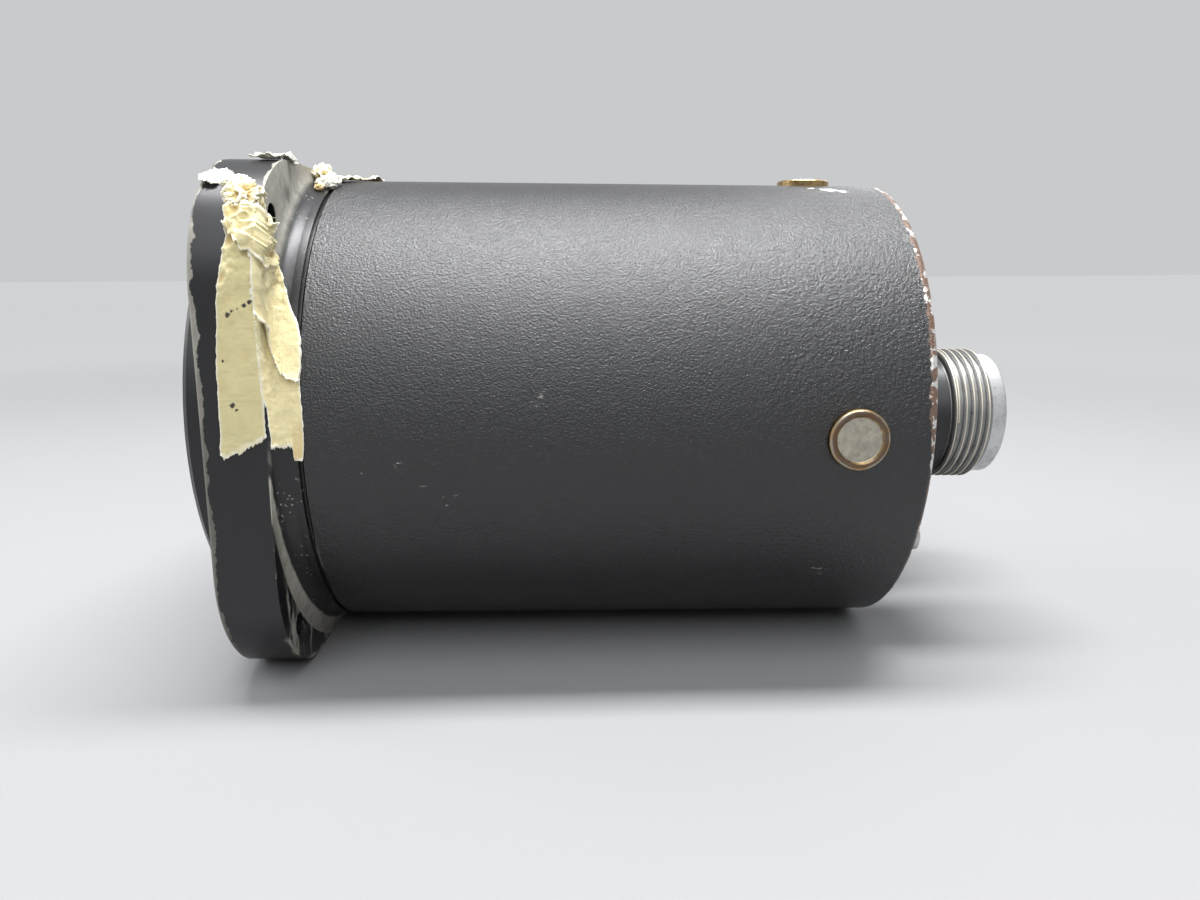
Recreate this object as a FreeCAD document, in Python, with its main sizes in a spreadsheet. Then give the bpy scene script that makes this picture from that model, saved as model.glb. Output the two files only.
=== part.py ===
import FreeCAD, Part
import Sketcher
import math
import os
import re

# Dual tachometer indicator: a square-flanged instrument case with two drag-cup elements side by side.
# The instrument's axis is Y: the dial looks towards -Y and the receptacles stand out of the back, at +Y.
# Z is up. The origin is the centre of the flange's front face, which lies against the panel.
# "Left" and "right" are as seen by someone who reads the dial, so right is +X.

Vector = FreeCAD.Vector

# Driving sizes, in millimetres and degrees. A name that ends in "radius" or "half" is measured from an axis.
SIZES = {
    # Cast flange with its spigot, neck and the tongue that enters the case
    "flange_margin": 1.2,
    "flange_thick": 9.3,
    "flange_edge": 0.4,
    "mount_outset": 5.25,
    "mount_hole": 3.8,
    "mount_margin": 4.48,
    "spigot_step": 1.8,
    "spigot_wall": 2.0,
    "spigot_long": 3.7,
    "spigot_bevel": 0.8,
    "neck_flare": 2.6,
    "neck_long": 3.8,
    "groove_wide": 0.5,
    "groove_deep": 0.7,
    "tongue_wall": 1.35,
    "tongue_long": 4.4,
    # Front well with its glass and dial
    "well_deep": 4.5,
    "ring_thick": 0.8,
    "ring_wide": 1.8,
    "ring_catch": 0.6,
    "ring_opening": 24,
    "glass_thick": 2.4,
    "gasket_thick": 0.6,
    "gasket_wide": 1.9,
    "glass_land": 2.2,
    "dial_well_deep": 4.4,
    "dial_thick": 0.8,
    "dial_eye_radius": 3.4,
    "mask_wide": 1.2,
    "dial_land": 4.7,
    "ledge_thick": 2.8,
    # Case, its rear ledge and cover
    "case_radius": 39.2,
    "case_wall": 1.6,
    "case_long": 93.0,
    "case_front_bevel": 0.3,
    "case_rear_round": 1.0,
    "rim_proud": 0.3,
    "cover_thick": 2.0,
    "cover_seal_thick": 0.5,
    "cover_seal_wide": 4.6,
    "ledge_wide": 2.6,
    "ledge_deep": 2.5,
    "lug_half": 3.0,
    "lug_margin": 2.1,
    "lug_long": 6.0,
    "cover_screw_inset": 3.0,
    # Plugs in the calibration holes
    "plug_from_back": 11.8,
    "plug_radius": 4.55,
    "plug_stem_radius": 3.2,
    "plug_stem_long": 2.2,
    "plug_stand": 1.2,
    "plug_rim": 1.25,
    "plug_dish_deep": 0.4,
    "plug_flat_deep": 0.3,
    # Receptacles
    "receptacle_half": 14.4,
    "shell_bore": 8.9,
    "shell_neck": 9.9,
    "shell_neck_long": 11.5,
    "shell_thread_radius": 11.1,
    "shell_thread_long": 6.1,
    "shell_thread_bevel": 0.5,
    "shell_mouth_radius": 10.2,
    "shell_mouth_long": 2.95,
    "shell_mouth_bevel": 0.3,
    "shell_tail_long": 5.8,
    "shell_flange_half": 13.0,
    "shell_flange_thick": 1.6,
    "shell_flange_corner": 2.0,
    "shell_screw_inset": 2.6,
    "shell_seal_thick": 0.5,
    "insert_recess": 8.3,
    "pin_radius": 0.8,
    "pin_circle": 3.6,
    "pin_recess": 1.9,
    "pin_cup_radius": 1.2,
    "pin_cup_long": 4.0,
    # Screws
    "small_screw_radius": 1.15,
    "small_head_radius": 2.1,
    "small_head_long": 1.1,
    "cover_screw_radius": 1.2,
    "cover_head_radius": 2.6,
    "cover_head_long": 1.8,
    "cover_screw_long": 6.6,
    "slot_wide": 0.6,
    "slot_deep": 0.6,
    "dial_screw_inset": 3.0,
    "dial_screw_radius": 0.8,
    "dial_head_radius": 1.3,
    "dial_head_long": 0.6,
    "movement_screw_outset": 3.5,
    "thread_bite": 2.2,
    # Frame plates and pillars
    "plate_thick": 2.0,
    "plate_gap": 0.2,
    "pillar_inset": 5.14,
    "pillar_angle": 63,
    "pillar_flat_radius": 2.5,
    "pillar_stud_radius": 1.2,
    "pillar_stud_bite": 3.0,
    "middle_window_half": 6.0,
    # Pointers and their shafts
    "inner_shaft_radius": 0.9,
    "tube_wall": 1.0,
    "bush_wall": 1.2,
    "pointer_glass_gap": 0.8,
    "pointer_step": 0.3,
    "hub_wall": 1.3,
    "hub_long": 1.0,
    "blade_thick": 0.4,
    "blade_tip": 26.0,
    "blade_tail": 9.0,
    "blade_half": 1.7,
    "blade_tip_half": 0.35,
    "blade_zero_angle": -150,
    # Elements: gears, spindles, springs and drag discs
    "element_margin": 1.0,
    "gear_teeth": 25,
    "gear_thick": 1.6,
    "gear_play": 0.12,
    "gear_hub_long": 1.2,
    "gear_step": 0.8,
    "spindle_radius": 1.0,
    "collet_radius": 1.6,
    "collet_long": 1.6,
    "collet_gap": 1.2,
    "spring_thick": 0.15,
    "spring_high": 1.0,
    "spring_turns": 3.5,
    "spring_pitch": 1.1,
    "spring_stud_radius": 0.6,
    "disc_margin": 0.6,
    "disc_thick": 0.6,
    "disc_hub_radius": 2.4,
    "disc_hub_long": 1.5,
    "disc_gap": 1.0,
    # Magnet carriers on the rotor shafts
    "keeper_gap": 2.5,
    "keeper_thick": 2.0,
    "keeper_ring_thick": 1.4,
    "keeper_eye_radius": 6.5,
    "keeper_post_inset": 1.05,
    "keeper_post_radius": 0.95,
    "magnet_radius": 2.3,
    "magnet_inset": 3.0,
    "magnet_long": 5.0,
    "keeper_clear": 1.1,
    # Motors
    "motor_gap": 1.0,
    "motor_wall": 0.8,
    "motor_long": 35.5,
    "motor_eye_radius": 6.0,
    "rotor_shaft_radius": 1.5,
    "bearing_radius": 4.0,
    "stator_from_front": 8.5,
    "stator_long": 16.0,
    "stator_yoke": 2.2,
    "stator_deep": 5.6,
    "pole_half": 2.5,
    "rotor_gap": 0.25,
    "coil_build": 1.6,
    "coil_thick": 2.1,
    "coil_seat": 0.45,
    "lead_radius": 0.7,
    "lead_straight": 3.0,
    "lead_tail_long": 3.6,
    # Clearances
    "seat_gap": 0.05,
    "running_gap": 0.03,
    "screw_gap": 0.1,
    # Remnants of masking tape on the flange
    "tape_thick": 0.25,
    "tape_low": -2.0,
    "tape_high": 25.0,
    "tape_front": 3.4,
    "tape_lap_long": 4.4,
    "tape_lap_start": -40,
    "tape_lap_angle": 43,
    "tape_wad_high": 3.0,
    "tape_wad_long": 12.5,
    "tape_wad_start": -92,
    "tape_wad_angle": 20,
}

# Sizes and places along the axis that follow from the driving ones
PLACES = {
    "neck_end": "flange_thick + neck_long",
    "case_front": "neck_end + groove_wide",
    "case_back": "case_front + case_long",
    "case_bore": "case_radius - case_wall",
    "tongue_radius": "case_bore - seat_gap",
    "tongue_bore": "tongue_radius - tongue_wall",
    "tongue_end": "case_front + tongue_long",
    "flange_half": "case_radius + flange_margin",
    "mount_circle": "2 * (case_radius + mount_outset)",
    "flange_reach": "mount_circle / 2 + mount_margin",
    "flange_corner": "(flange_half * sqrt(2) - flange_reach) / (sqrt(2) - 1)",
    "blank_radius": "flange_half * 1.5",
    "spigot_radius": "case_radius - spigot_step",
    "well_radius": "spigot_radius - spigot_wall",
    "dial_well_radius": "well_radius - glass_land",
    "ledge_bore": "dial_well_radius - dial_land",
    "dial_screw_circle": "dial_well_radius - dial_screw_inset",
    "movement_screw_circle": "ledge_bore + movement_screw_outset",
    "well_floor": "well_deep - spigot_long",
    "glass_back": "well_floor - gasket_thick",
    "glass_front": "glass_back - glass_thick",
    "ring_front": "glass_front - ring_thick",
    "dial_floor": "well_floor + dial_well_deep",
    "dial_front": "dial_floor - dial_thick",
    "plate_seat": "dial_floor + ledge_thick",
    "cover_back": "case_back - rim_proud",
    "cover_front": "cover_back - cover_thick",
    "ledge_back": "cover_front - cover_seal_thick",
    "ledge_radius": "case_bore - ledge_wide",
    "cover_screw_circle": "case_bore - cover_screw_inset",
    "lug_inner": "cover_screw_circle - lug_margin",
    "plug_along": "case_back - plug_from_back",
    "plug_flat": "case_radius - plug_flat_deep",
    "plug_inner": "plug_flat - plug_stem_long",
    "plug_top": "plug_flat + plug_stand",
    "plug_dish": "plug_top - plug_dish_deep",
    "shell_seat": "cover_front - shell_seal_thick",
    "shell_screw_half": "shell_flange_half - shell_screw_inset",
    "shell_thread_end": "shell_neck_long + shell_thread_long",
    "shell_long": "shell_thread_end + shell_mouth_long",
    "insert_long": "shell_long - insert_recess + shell_tail_long",
    "pin_front": "shell_long - pin_recess",
    "front_plate_back": "plate_seat + plate_thick",
    "first_gear": "front_plate_back + gear_step",
    "second_gear": "first_gear + gear_thick + gear_hub_long + gear_step",
    "middle_plate_front": "second_gear + gear_thick + gear_hub_long + gear_step",
    "middle_plate_back": "middle_plate_front + plate_thick",
    "collet_front": "middle_plate_back + collet_gap",
    "collet_back": "collet_front + collet_long",
    "ring_keeper_front": "collet_back + spring_high",
    "disc_front": "ring_keeper_front + keeper_ring_thick + disc_gap",
    "magnet_front": "disc_front + disc_thick + disc_gap",
    "keeper_front": "magnet_front + magnet_long",
    "keeper_back": "keeper_front + keeper_thick",
    "motor_plate_front": "keeper_back + keeper_clear",
    "motor_plate_back": "motor_plate_front + plate_thick",
    "rear_plate_front": "motor_plate_back + motor_long",
    "rear_plate_back": "rear_plate_front + plate_thick",
    "plate_radius": "tongue_bore - plate_gap",
    "pillar_across": "(plate_radius - pillar_inset) * cos(pillar_angle)",
    "pillar_up": "(plate_radius - pillar_inset) * sin(pillar_angle)",
    "element_half": "(plate_radius - element_margin) / 2",
    "motor_radius": "element_half - motor_gap",
    "keeper_radius": "element_half - keeper_gap",
    "keeper_post_circle": "keeper_radius - keeper_post_inset",
    "disc_radius": "keeper_post_circle - keeper_post_radius - disc_margin",
    "magnet_circle": "disc_radius - magnet_inset",
    "stator_front": "motor_plate_back + stator_from_front",
    "stator_radius": "motor_radius - motor_wall - seat_gap",
    "stator_bore": "stator_radius - stator_deep",
    "coil_lift": "stator_bore + coil_seat",
    "coil_end": "stator_front + stator_long + seat_gap + coil_build",
    "coil_circle": "coil_lift + coil_thick / 2",
    "tube_bore": "inner_shaft_radius + running_gap",
    "tube_radius": "tube_bore + tube_wall",
    "front_hub": "glass_back + pointer_glass_gap",
    "rear_hub": "front_hub + hub_long + pointer_step",
    "spring_inner": "collet_radius + seat_gap + spring_thick",
}

doc = FreeCAD.newDocument("dual_tachometer")
pieces = []


def make_sheet():
    """Write the driving sizes into the spreadsheet, one row each, with the size's name as alias."""
    sheet = doc.addObject("Spreadsheet::Sheet", "Sizes")
    for row, (name, number) in enumerate(SIZES.items(), 1):
        sheet.set(f"A{row}", name)
        sheet.set(f"B{row}", str(number))
        sheet.setAlias(f"B{row}", name)
    doc.recompute()
    return sheet


def make_places():
    """Hold the sizes that follow from the driving ones as properties with formulas."""
    places = doc.addObject("App::VarSet", "Places")
    for name, text in PLACES.items():
        places.addProperty("App::PropertyFloat", name)
        places.setExpression(name, formula(text))
    doc.recompute()
    return places


def formula(text):
    """Turn a formula of size names into an expression of this document."""
    def owned(found):
        name = found.group(0)
        return ("Sizes." if name in SIZES else "Places.") + name
    return re.sub(r"[a-z]+(?:_[a-z]+)+", owned, text)


def value(name):
    """Number behind a size's name, for shapes that are worked out in code."""
    return float(sheet.get(name)) if name in SIZES else float(getattr(places, name))


def bind(thing, item, text):
    thing.setExpression(item, formula(text))


def new_body(label, across="0", along="0", up="0", kept=True):
    """Start a body whose own origin lies at the given place."""
    body = doc.addObject("PartDesign::Body", label)
    body.Label = label
    body.AllowCompound = True
    bind(body, "Placement.Base.x", across)
    bind(body, "Placement.Base.y", along)
    bind(body, "Placement.Base.z", up)
    if kept:
        pieces.append(body)
    return body


def origin_part(body, role):
    return next(item for item in body.Origin.OriginFeatures if item.Role == role)


def new_sketch(body, role="XZ_Plane", along="0"):
    """Sketch on one of the body's origin planes; on the XZ plane it may be moved along +Y."""
    sketch = body.newObject("Sketcher::SketchObject", body.Name + "_sketch")
    sketch.AttachmentSupport = [(origin_part(body, role), "")]
    sketch.MapMode = "FlatFace"
    bind(sketch, "AttachmentOffset.Base.z", f"-({along})")
    return sketch


def fix(sketch, kind, places_of, text):
    """Add one constraint and bind its value to a formula."""
    index = sketch.addConstraint(Sketcher.Constraint(kind, *places_of, 1.0))
    bind(sketch, f"Constraints[{index}]", text)


def outline(sketch, corners):
    """Closed outline of straight edges through corners, each given from the sketch's origin."""
    count = len(corners)
    first = sketch.GeometryCount
    turns = [2 * math.pi * i / count for i in range(count)]
    ring = [Vector(math.cos(turn), math.sin(turn), 0) for turn in turns]
    for i in range(count):
        sketch.addGeometry(Part.LineSegment(ring[i], ring[(i + 1) % count]), False)
    for i in range(count):
        sketch.addConstraint(Sketcher.Constraint("Coincident", first + i, 2, first + (i + 1) % count, 1))
    for i, (across, up) in enumerate(corners):
        fix(sketch, "DistanceX", (-1, 1, first + i, 1), across)
        fix(sketch, "DistanceY", (-1, 1, first + i, 1), up)


def rectangle(sketch, left, right, low, high):
    outline(sketch, [(left, low), (right, low), (right, high), (left, high)])


def circle(sketch, radius, across="0", up="0"):
    index = sketch.addGeometry(Part.Circle(Vector(0, 0, 0), Vector(0, 0, 1), 1), False)
    fix(sketch, "Radius", (index,), radius)
    fix(sketch, "DistanceX", (-1, 1, index, 3), across)
    fix(sketch, "DistanceY", (-1, 1, index, 3), up)


def pad(body, sketch, length):
    """Raise a sketch of the XZ plane towards +Y."""
    feature = body.newObject("PartDesign::Pad", body.Name + "_pad")
    feature.Profile = sketch
    feature.Reversed = True
    bind(feature, "Length", length)
    doc.recompute()
    return feature


def pocket(body, sketch, length=None, reverse=False):
    """Cut a sketch into the body: right through it both ways, or to a length on one side."""
    before = body.Shape.Volume
    feature = body.newObject("PartDesign::Pocket", body.Name + "_pocket")
    feature.Profile = sketch
    if length is None:
        feature.Type = "ThroughAll"
        feature.Midplane = True
    else:
        feature.Reversed = reverse
        bind(feature, "Length", length)
    doc.recompute()
    check_cut(body, before)
    return feature


def revolve(body, corners, angle=None, role="XY_Plane", axis="V_Axis"):
    """Turn an outline round the body's axis; corners are (radius, along)."""
    sketch = new_sketch(body, role)
    outline(sketch, corners)
    feature = body.newObject("PartDesign::Revolution", body.Name + "_turned")
    feature.Profile = sketch
    feature.ReferenceAxis = (sketch, [axis])
    if angle is None:
        feature.Angle = 360
    else:
        bind(feature, "Angle", angle)
    doc.recompute()
    return feature


def repeat_round(body, features, count, angle=360):
    """Repeat features round the body's Y axis."""
    before = body.Shape.Volume
    feature = body.newObject("PartDesign::PolarPattern", body.Name + "_pattern")
    feature.Originals = features
    feature.Axis = (origin_part(body, "Y_Axis"), [""])
    feature.Angle = angle
    feature.Occurrences = count
    body.Tip = feature
    doc.recompute()
    if abs(body.Shape.Volume - before) < 1e-6:
        raise RuntimeError(f"{body.Label}: the pattern changed nothing")
    return feature


def round_edges(body, kind, amount, chosen):
    """Fillet or chamfer those edges of the body's last feature that the test picks."""
    base = body.Tip
    names = [f"Edge{i}" for i, edge in enumerate(base.Shape.Edges, 1) if chosen(edge)]
    if not names:
        raise RuntimeError(f"{body.Label}: no edge to round")
    feature = body.newObject("PartDesign::" + kind, body.Name + "_" + kind.lower())
    feature.Base = (base, names)
    bind(feature, "Radius" if kind == "Fillet" else "Size", amount)
    doc.recompute()
    return feature


def is_circle(edge, radius, along=None):
    curve = edge.Curve
    if not isinstance(curve, Part.Circle) or abs(curve.Radius - radius) > 1e-4:
        return False
    return along is None or abs(curve.Center.y - along) < 1e-4


def check_cut(body, before):
    if body.Shape.Volume > before - 1e-6:
        raise RuntimeError(f"{body.Label}: the last cut removed nothing")


def ring_piece(label, outer, inner, along, length, across="0", kept=True):
    """Plain ring or washer round an axis parallel to Y."""
    body = new_body(label, across=across, along=along, kept=kept)
    sketch = new_sketch(body)
    circle(sketch, outer)
    circle(sketch, inner)
    pad(body, sketch, length)
    return body


def group(label, prototype, places_of):
    """One node of several equal solids: copies of a prototype at (across, along, up) formulas."""
    links = []
    for number, (across, along, up) in enumerate(places_of, 1):
        link = doc.addObject("App::Link", f"{label}_{number}")
        link.LinkedObject = prototype
        bind(link, "Placement.Base.x", across)
        bind(link, "Placement.Base.y", along)
        bind(link, "Placement.Base.z", up)
        links.append(link)
    compound = doc.addObject("Part::Compound", label)
    compound.Label = label
    compound.Links = links
    doc.recompute()
    pieces.append(compound)
    return compound


def coded_piece(label, shape, across=0.0, along=0.0, kept=True):
    """Piece whose shape is worked out in code."""
    feature = doc.addObject("Part::Feature", label)
    feature.Label = label
    feature.Shape = shape
    feature.Placement = FreeCAD.Placement(Vector(across, along, 0), FreeCAD.Rotation())
    if kept:
        pieces.append(feature)
    return feature


SIDES = {"left": -1, "right": 1}
PIN_TURNS = (30, 150, 270)


def side_across(side, name="element_half"):
    return name if SIDES[side] > 0 else "-" + name


def make_front_flange():
    """Square cast flange: turned blank, squared sides, rounded corners, four holes and blind screw holes."""
    body = new_body("front_flange")
    revolve(body, [
        ("well_radius", "-spigot_long"),
        ("spigot_radius - spigot_bevel", "-spigot_long"),
        ("spigot_radius", "spigot_bevel - spigot_long"),
        ("spigot_radius", "0"),
        ("blank_radius", "0"),
        ("blank_radius", "flange_thick"),
        ("case_radius", "flange_thick"),
        ("case_radius", "neck_end"),
        ("case_radius - groove_deep", "neck_end"),
        ("case_radius - groove_deep", "case_front"),
        ("tongue_radius", "case_front"),
        ("tongue_radius", "tongue_end"),
        ("tongue_bore", "tongue_end"),
        ("tongue_bore", "plate_seat"),
        ("ledge_bore", "plate_seat"),
        ("ledge_bore", "dial_floor"),
        ("dial_well_radius", "dial_floor"),
        ("dial_well_radius", "well_floor"),
        ("well_radius", "well_floor"),
        ("well_radius", "glass_front"),
        ("well_radius + ring_catch", "glass_front"),
        ("well_radius + ring_catch", "ring_front"),
        ("well_radius", "ring_front"),
    ])
    radius, back = value("case_radius"), value("flange_thick")
    round_edges(body, "Fillet", "neck_flare", lambda edge: is_circle(edge, radius, back))
    sides = new_sketch(body)
    circle(sides, "blank_radius * 1.2")
    rectangle(sides, "-flange_half", "flange_half", "-flange_half", "flange_half")
    pocket(body, sides)
    half = value("flange_half")
    round_edges(body, "Fillet", "flange_corner", lambda edge: is_corner(edge, half))
    round_edges(body, "Chamfer", "flange_edge", lambda edge: is_front_rim(edge, half))
    hole = new_sketch(body)
    circle(hole, "mount_hole / 2", "mount_circle / 2 * cos(45)", "mount_circle / 2 * sin(45)")
    repeat_round(body, [pocket(body, hole)], 4)
    blind = new_sketch(body, along="plate_seat")
    circle(blind, "small_screw_radius", "movement_screw_circle")
    repeat_round(body, [pocket(body, blind, "thread_bite", reverse=True)], 4)
    blind = new_sketch(body, along="dial_floor")
    for place in dial_screw_places():
        circle(blind, "dial_screw_radius", *place)
    pocket(body, blind, "thread_bite")


def is_corner(edge, half):
    """Straight edge along Y at a corner of the squared flange."""
    if len(edge.Vertexes) != 2 or not isinstance(edge.Curve, Part.Line):
        return False
    start, end = (vertex.Point for vertex in edge.Vertexes)
    along_axis = abs(start.x - end.x) < 1e-4 and abs(start.z - end.z) < 1e-4
    return along_axis and abs(abs(start.x) - half) < 1e-4 and abs(abs(start.z) - half) < 1e-4


def is_front_rim(edge, half):
    """Edge of the flange's outline in its front face."""
    points = edge.discretize(3)
    outside = max(max(abs(point.x), abs(point.z)) for point in points)
    return all(abs(point.y) < 1e-4 for point in points) and outside > half - 0.01


def make_case_tube():
    """Drawn tube with a rear ledge, three lugs for the cover's screws and three calibration holes."""
    body = new_body("case_tube")
    revolve(body, [
        ("case_bore", "case_front"),
        ("case_radius - case_front_bevel", "case_front"),
        ("case_radius", "case_front + case_front_bevel"),
        ("case_radius", "case_back"),
        ("case_bore", "case_back"),
        ("case_bore", "ledge_back"),
        ("ledge_radius", "ledge_back"),
        ("ledge_radius", "ledge_back - ledge_deep"),
        ("case_bore", "ledge_back - ledge_deep"),
    ])
    radius, back = value("case_radius"), value("case_back")
    round_edges(body, "Fillet", "case_rear_round", lambda edge: is_circle(edge, radius, back))
    lug = new_sketch(body, along="ledge_back - lug_long")
    rectangle(lug, "-lug_half", "lug_half", "lug_inner", "case_bore + case_wall / 4")
    repeat_round(body, [pad(body, lug, "lug_long")], 3)
    tapped = new_sketch(body, along="ledge_back")
    circle(tapped, "cover_screw_radius", "0", "cover_screw_circle")
    repeat_round(body, [pocket(body, tapped, "cover_screw_long - cover_thick", reverse=True)], 3)
    cuts = []
    for radius_of, lift, deep in (
            ("plug_radius + screw_gap", "plug_flat", "case_wall"),
            ("plug_stem_radius + seat_gap", "case_bore - case_wall", "case_wall * 3")):
        sketch = new_sketch(body, "YZ_Plane", lift)
        circle(sketch, radius_of, "plug_along")
        cuts.append(pocket(body, sketch, deep, reverse=False))
    repeat_round(body, cuts, 3, 180)


def make_rear_cover():
    """Round cover plate with its seal, screws and the two holes for the receptacles' necks."""
    body = new_body("rear_cover", along="cover_front")
    plate = new_sketch(body)
    circle(plate, "case_bore - seat_gap")
    for side in SIDES:
        circle(plate, "shell_neck + screw_gap", side_across(side, "receptacle_half"))
    pad(body, plate, "cover_thick")
    holes = new_sketch(body)
    circle(holes, "cover_screw_radius + screw_gap", "0", "cover_screw_circle")
    repeat_round(body, [pocket(body, holes)], 3)
    sunk = new_sketch(body, along="cover_thick")
    for across, up in receptacle_screw_places():
        circle(sunk, "small_screw_radius", across, up)
    before = body.Shape.Volume
    hole = body.newObject("PartDesign::Hole", "rear_cover_sunk")
    hole.Profile = sunk
    hole.DepthType = "ThroughAll"
    bind(hole, "Diameter", "2 * (small_screw_radius + screw_gap)")
    hole.HoleCutType = "Countersink"
    bind(hole, "HoleCutDiameter", "2 * (small_head_radius + screw_gap)")
    hole.HoleCutCountersinkAngle = 90
    hole.Reversed = True
    doc.recompute()
    check_cut(body, before)

    seal = new_body("rear_cover_gasket", along="ledge_back")
    flat = new_sketch(seal)
    circle(flat, "case_bore - seat_gap")
    circle(flat, "case_bore - cover_seal_wide")
    pad(seal, flat, "cover_seal_thick")
    holes = new_sketch(seal)
    circle(holes, "cover_screw_radius + screw_gap", "0", "cover_screw_circle")
    repeat_round(seal, [pocket(seal, holes)], 3)

    screws = new_body("rear_cover_screws", along="cover_back")
    shank = new_sketch(screws, along="-cover_screw_long")
    circle(shank, "cover_screw_radius", "0", "cover_screw_circle")
    head = new_sketch(screws)
    circle(head, "cover_head_radius", "0", "cover_screw_circle")
    slot = new_sketch(screws, along="cover_head_long - slot_deep")
    rectangle(slot, "-cover_head_radius", "cover_head_radius",
              "cover_screw_circle - slot_wide / 2", "cover_screw_circle + slot_wide / 2")
    features = [pad(screws, shank, "cover_screw_long"), pad(screws, head, "cover_head_long")]
    features.append(pocket(screws, slot, "slot_deep", reverse=False))
    repeat_round(screws, features, 3)


def receptacle_screw_places():
    """Centres of the four screws of each receptacle, as (across, up) formulas."""
    return [(f"{side_across(side, 'receptacle_half')} {x} shell_screw_half", f"{z}shell_screw_half")
            for side in SIDES for x in "+-" for z in ("", "-")]


def make_seal_plugs():
    """Dished plugs in the calibration holes, at both sides and on top."""
    body = new_body("seal_plugs", along="plug_along")
    revolve(body, [
        ("-plug_inner", "0"),
        ("-plug_inner", "plug_stem_radius"),
        ("-plug_flat", "plug_stem_radius"),
        ("-plug_flat", "plug_radius"),
        ("plug_dish_deep / 2 - plug_top", "plug_radius"),
        ("-plug_top", "plug_radius - plug_dish_deep / 2"),
        ("-plug_top", "plug_radius - plug_rim + plug_dish_deep"),
        ("-plug_dish", "plug_radius - plug_rim"),
        ("-plug_dish", "0"),
    ], role="XY_Plane", axis="H_Axis")
    repeat_round(body, [body.Tip], 3, 180)


def make_receptacles():
    """Two threaded shells through the cover, each with its insert, three pins, seal and four screws."""
    for side in SIDES:
        across = side_across(side, "receptacle_half")
        shell = new_body(f"{side}_receptacle_shell", across=across, along="shell_seat")
        revolve(shell, [
            ("0", "-shell_tail_long"),
            ("shell_neck", "-shell_tail_long"),
            ("shell_neck", "shell_neck_long"),
            ("shell_thread_radius - shell_thread_bevel", "shell_neck_long"),
            ("shell_thread_radius", "shell_neck_long + shell_thread_bevel"),
            ("shell_thread_radius", "shell_thread_end - shell_thread_bevel"),
            ("shell_thread_radius - shell_thread_bevel", "shell_thread_end"),
            ("shell_mouth_radius", "shell_thread_end"),
            ("shell_mouth_radius", "shell_long - shell_mouth_bevel"),
            ("shell_mouth_radius - shell_mouth_bevel", "shell_long"),
            ("0", "shell_long"),
        ])
        square = new_sketch(shell, along="-shell_flange_thick")
        half = "shell_flange_half"
        rectangle(square, f"-{half}", half, f"-{half}", half)
        pad(shell, square, "shell_flange_thick")
        reach = value(half)
        round_edges(shell, "Fillet", "shell_flange_corner", lambda edge: is_corner(edge, reach))
        cuts = new_sketch(shell)
        circle(cuts, "shell_bore")
        for x in ("", "-"):
            for z in ("", "-"):
                circle(cuts, "small_screw_radius", f"{x}shell_screw_half", f"{z}shell_screw_half")
        pocket(shell, cuts)

        insert = new_body(f"{side}_receptacle_insert", across=across, along="shell_seat - shell_tail_long")
        face = new_sketch(insert)
        circle(face, "shell_bore - seat_gap")
        for turn in PIN_TURNS:
            circle(face, "pin_radius + running_gap", f"pin_circle * cos({turn})", f"pin_circle * sin({turn})")
        pad(insert, face, "insert_long")

    pin = new_body("receptacle_pin", kept=False)
    revolve(pin, [
        ("0", "-shell_tail_long - pin_cup_long"),
        ("pin_cup_radius", "-shell_tail_long - pin_cup_long"),
        ("pin_cup_radius", "-shell_tail_long"),
        ("pin_radius", "-shell_tail_long"),
        ("pin_radius", "pin_front - pin_radius"),
        ("pin_radius / 2", "pin_front"),
        ("0", "pin_front"),
    ])
    centres = [side_across(side, "receptacle_half") for side in SIDES]
    group("receptacle_pins", pin, [
        (f"{centre} + pin_circle * cos({turn})", "shell_seat", f"pin_circle * sin({turn})")
        for centre in centres for turn in PIN_TURNS])

    seal = new_body("receptacle_gasket", kept=False)
    flat = new_sketch(seal)
    rectangle(flat, "-shell_flange_half", "shell_flange_half", "-shell_flange_half", "shell_flange_half")
    circle(flat, "shell_neck + seat_gap")
    for x in ("", "-"):
        for z in ("", "-"):
            circle(flat, "small_screw_radius + screw_gap", f"{x}shell_screw_half", f"{z}shell_screw_half")
    pad(seal, flat, "shell_seal_thick")
    group("receptacle_gaskets", seal, [(centre, "shell_seat", "0") for centre in centres])

    screw = new_body("receptacle_screw", kept=False)
    tail = "-(cover_thick + shell_seal_thick + shell_flange_thick + slot_wide * 2)"
    revolve(screw, [
        ("0", tail),
        ("small_screw_radius", tail),
        ("small_screw_radius", "small_screw_radius - small_head_radius"),
        ("small_head_radius", "0"),
        ("0", "0"),
    ])
    slot = new_sketch(screw, along="-slot_deep")
    rectangle(slot, "-small_head_radius", "small_head_radius", "-slot_wide / 2", "slot_wide / 2")
    pocket(screw, slot, "slot_deep", reverse=False)
    places_of = receptacle_screw_places()
    group("receptacle_screws", screw, [(across, "cover_back", up) for across, up in places_of])


def make_front_glass():
    """Glass in the flange's well, on a gasket, under a split spring ring."""
    glass = new_body("cover_glass", along="glass_front")
    disc = new_sketch(glass)
    circle(disc, "well_radius - seat_gap")
    pad(glass, disc, "glass_thick")
    ring_piece("glass_gasket", "well_radius - seat_gap", "well_radius - gasket_wide",
               "glass_back", "gasket_thick")
    ring = new_body("glass_retaining_ring", along="ring_front")
    outer = "well_radius + ring_catch - seat_gap"
    revolve(ring, [
        (f"{outer} - ring_wide", "0"),
        (outer, "0"),
        (outer, "ring_thick"),
        (f"{outer} - ring_wide", "ring_thick"),
    ], angle="360 - ring_opening")


def dial_screw_places():
    """Centres of the two dial screws, as (across, up) formulas."""
    reach = "dial_screw_circle * cos(45)"
    return [(reach, reach), ("-" + reach, "-" + reach)]


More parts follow.
